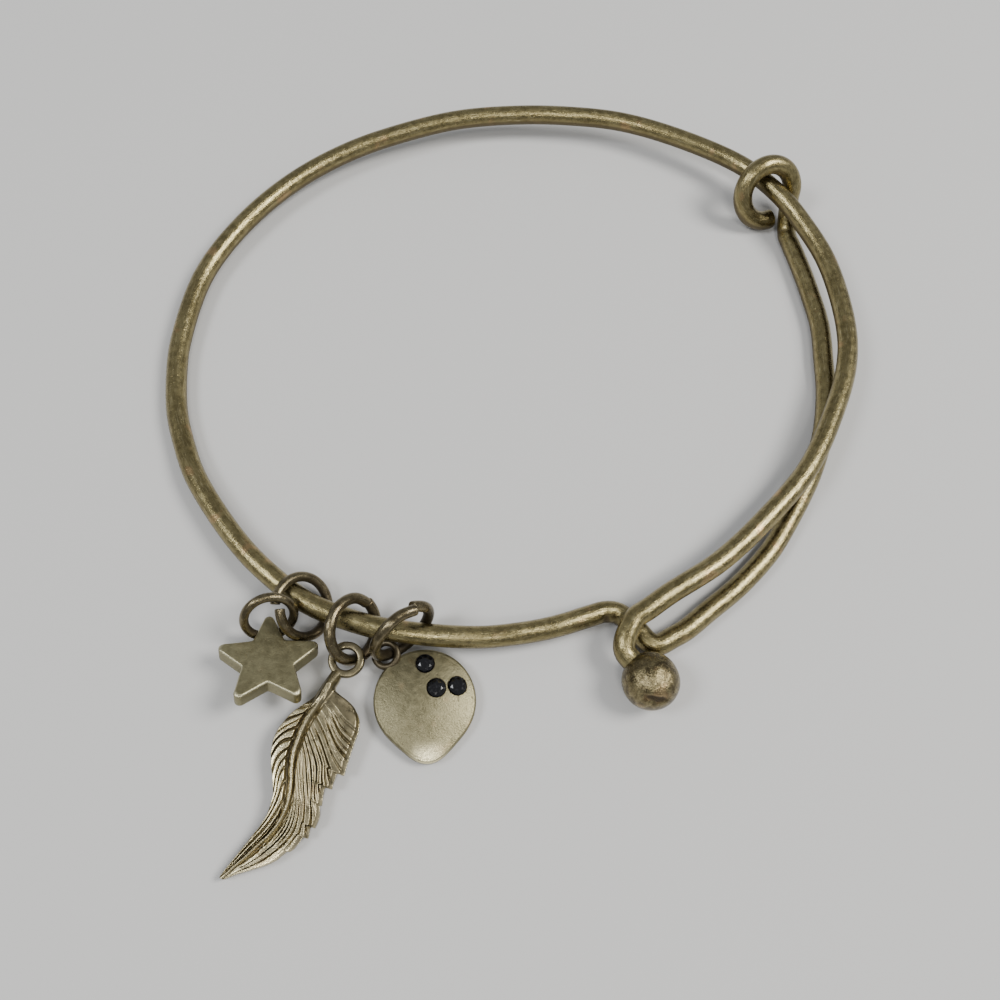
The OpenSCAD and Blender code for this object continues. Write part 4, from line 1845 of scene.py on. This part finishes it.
WIRE_BRASS = AntiqueBrass(
    "wire_antique_brass", Slot.ANTIQUE,
    dark=(0.17, 0.138, 0.063), plain=(0.32, 0.27, 0.132), worn_and_highlight=(0.8, 0.71, 0.42),
    groove_and_shade=(0.08, 0.058, 0.026),
    rough=0.28, grain=Grain.ALONG, lines=0.4, mottle=0.6, specks=0.45, bump=0.3,
    copper_share=0.5,
)
BALL_BRASS = AntiqueBrass(
    "ball_antique_brass", Slot.ANTIQUE,
    dark=(0.085, 0.066, 0.034), plain=(0.27, 0.225, 0.12), worn_and_highlight=(0.8, 0.71, 0.45),
    groove_and_shade=(0.035, 0.024, 0.012),
    rough=0.25, mottle=0.9, specks=0.6, bump=0.5, lines=0.2, copper_share=0.3,
)
RING_BRASS = AntiqueBrass(
    "ring_dark_brass", Slot.DARK,
    dark=(0.09, 0.07, 0.038), plain=(0.22, 0.185, 0.11), worn_and_highlight=(0.66, 0.59, 0.41),
    groove_and_shade=(0.04, 0.03, 0.016),
    rough=0.24, grain=Grain.ALONG, lines=0.3, mottle=0.6, specks=0.5,
    relief_high=0.95, bump=0.25, copper_share=0.15,
)
STAR_BRASS = AntiqueBrass(
    "star_satin_brass", Slot.SATIN,
    dark=(0.24, 0.215, 0.12), plain=(0.35, 0.32, 0.19), worn_and_highlight=(0.6, 0.56, 0.38),
    rough=0.44, mottle=0.35, specks=0.4, bump=0.35, copper_share=0.05,
)
PETAL_BRASS = AntiqueBrass(
    "petal_satin_brass", Slot.SATIN,
    dark=(0.17, 0.153, 0.088), plain=(0.265, 0.24, 0.143), worn_and_highlight=(0.95, 0.86, 0.55),
    rough=0.4, mottle=0.3, specks=0.4, bump=0.3, copper_share=0.15,
)
FEATHER_BRASS = AntiqueBrass(
    "feather_pale_brass", Slot.PALE,
    dark=(0.165, 0.14, 0.083), plain=(0.265, 0.227, 0.137), worn_and_highlight=(0.76, 0.67, 0.42),
    groove_and_shade=(0.09, 0.07, 0.04),
    rough=0.31, mottle=0.4, specks=0.2, relief_low=0.02, relief_high=1.08, bump=0.2,
    copper_share=0.1,
)
JET = JetGlass()


def main() -> None:
    """Build the room and every piece of the bangle."""
    logging.basicConfig(level=logging.INFO, format="%(name)s %(message)s")
    Studio().build()
    bench, layout = Bench(), Layout()

    wire = BangleWire(layout)
    bench.dress(wire.build(), WIRE_BRASS, "bangle_wire")
    bench.dress(EndBall(wire).build(), BALL_BRASS, "end_ball")

    large = JumpRing(
        "large_ring", hole=4.4, wire=0.9, lean=43.7, face=-16, cut_at=204, cut=0.37, spring=0.73
    )
    large.hang(layout, turn=238, reach=1.07, swing=64, slack=0.45)
    small = JumpRing("small_ring", hole=3.48, wire=0.8, lean=58.5, face=-68.7, cut_at=-12)
    small.link(large, swing=129.6, slack=0.95)
    feather_ring = JumpRing(
        "feather_ring_wire",
        hole=4.4, wire=1.0, lean=51, face=-20, cut_at=86, step_out=-0.2, step_side=0.22,
    )
    feather_ring.hang(layout, turn=246.4, reach=1.058, swing=66, slack=0.66)
    petal_ring = JumpRing(
        "petal_ring_wire",
        hole=4.8, wire=1.0, lean=80, face=-50, cut_at=146, step_out=0.3, step_side=0.55,
    )
    petal_ring.hang(layout, turn=253.3, reach=1.042, swing=25.6, slack=0.35)
    for ring, node in (
        (large, "star_ring_large"), (small, "star_ring_small"),
        (feather_ring, "feather_ring"), (petal_ring, "petal_ring"),
    ):
        bench.dress(ring.build(), RING_BRASS, node)

    # Where on its ring each charm hangs, in degrees from the ring's lowest point
    star_at, feather_at, petal_at = -15.0, -75.0, -46.0
    bench.dress(Star.hung(small, star_at).build(), STAR_BRASS, "star_charm")
    feather = Feather(feather_ring.point(feather_at))
    bench.dress(feather.build(), FEATHER_BRASS, "feather_charm")
    petal = Petal(petal_ring.point(petal_at), petal_ring.way(petal_at + 90))
    bench.dress(petal.build(), PETAL_BRASS, "petal_charm")
    bench.dress(petal.loop(), RING_BRASS)
    for i in range(len(petal.stones)):
        bench.dress(petal.stone(i), JET, f"stone_{i + 1}")


if __name__ == "__main__":
    main()
    {name: [list(c) for c in box] for name, box in (("cad", CAD_BOX), ("visual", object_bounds()))}
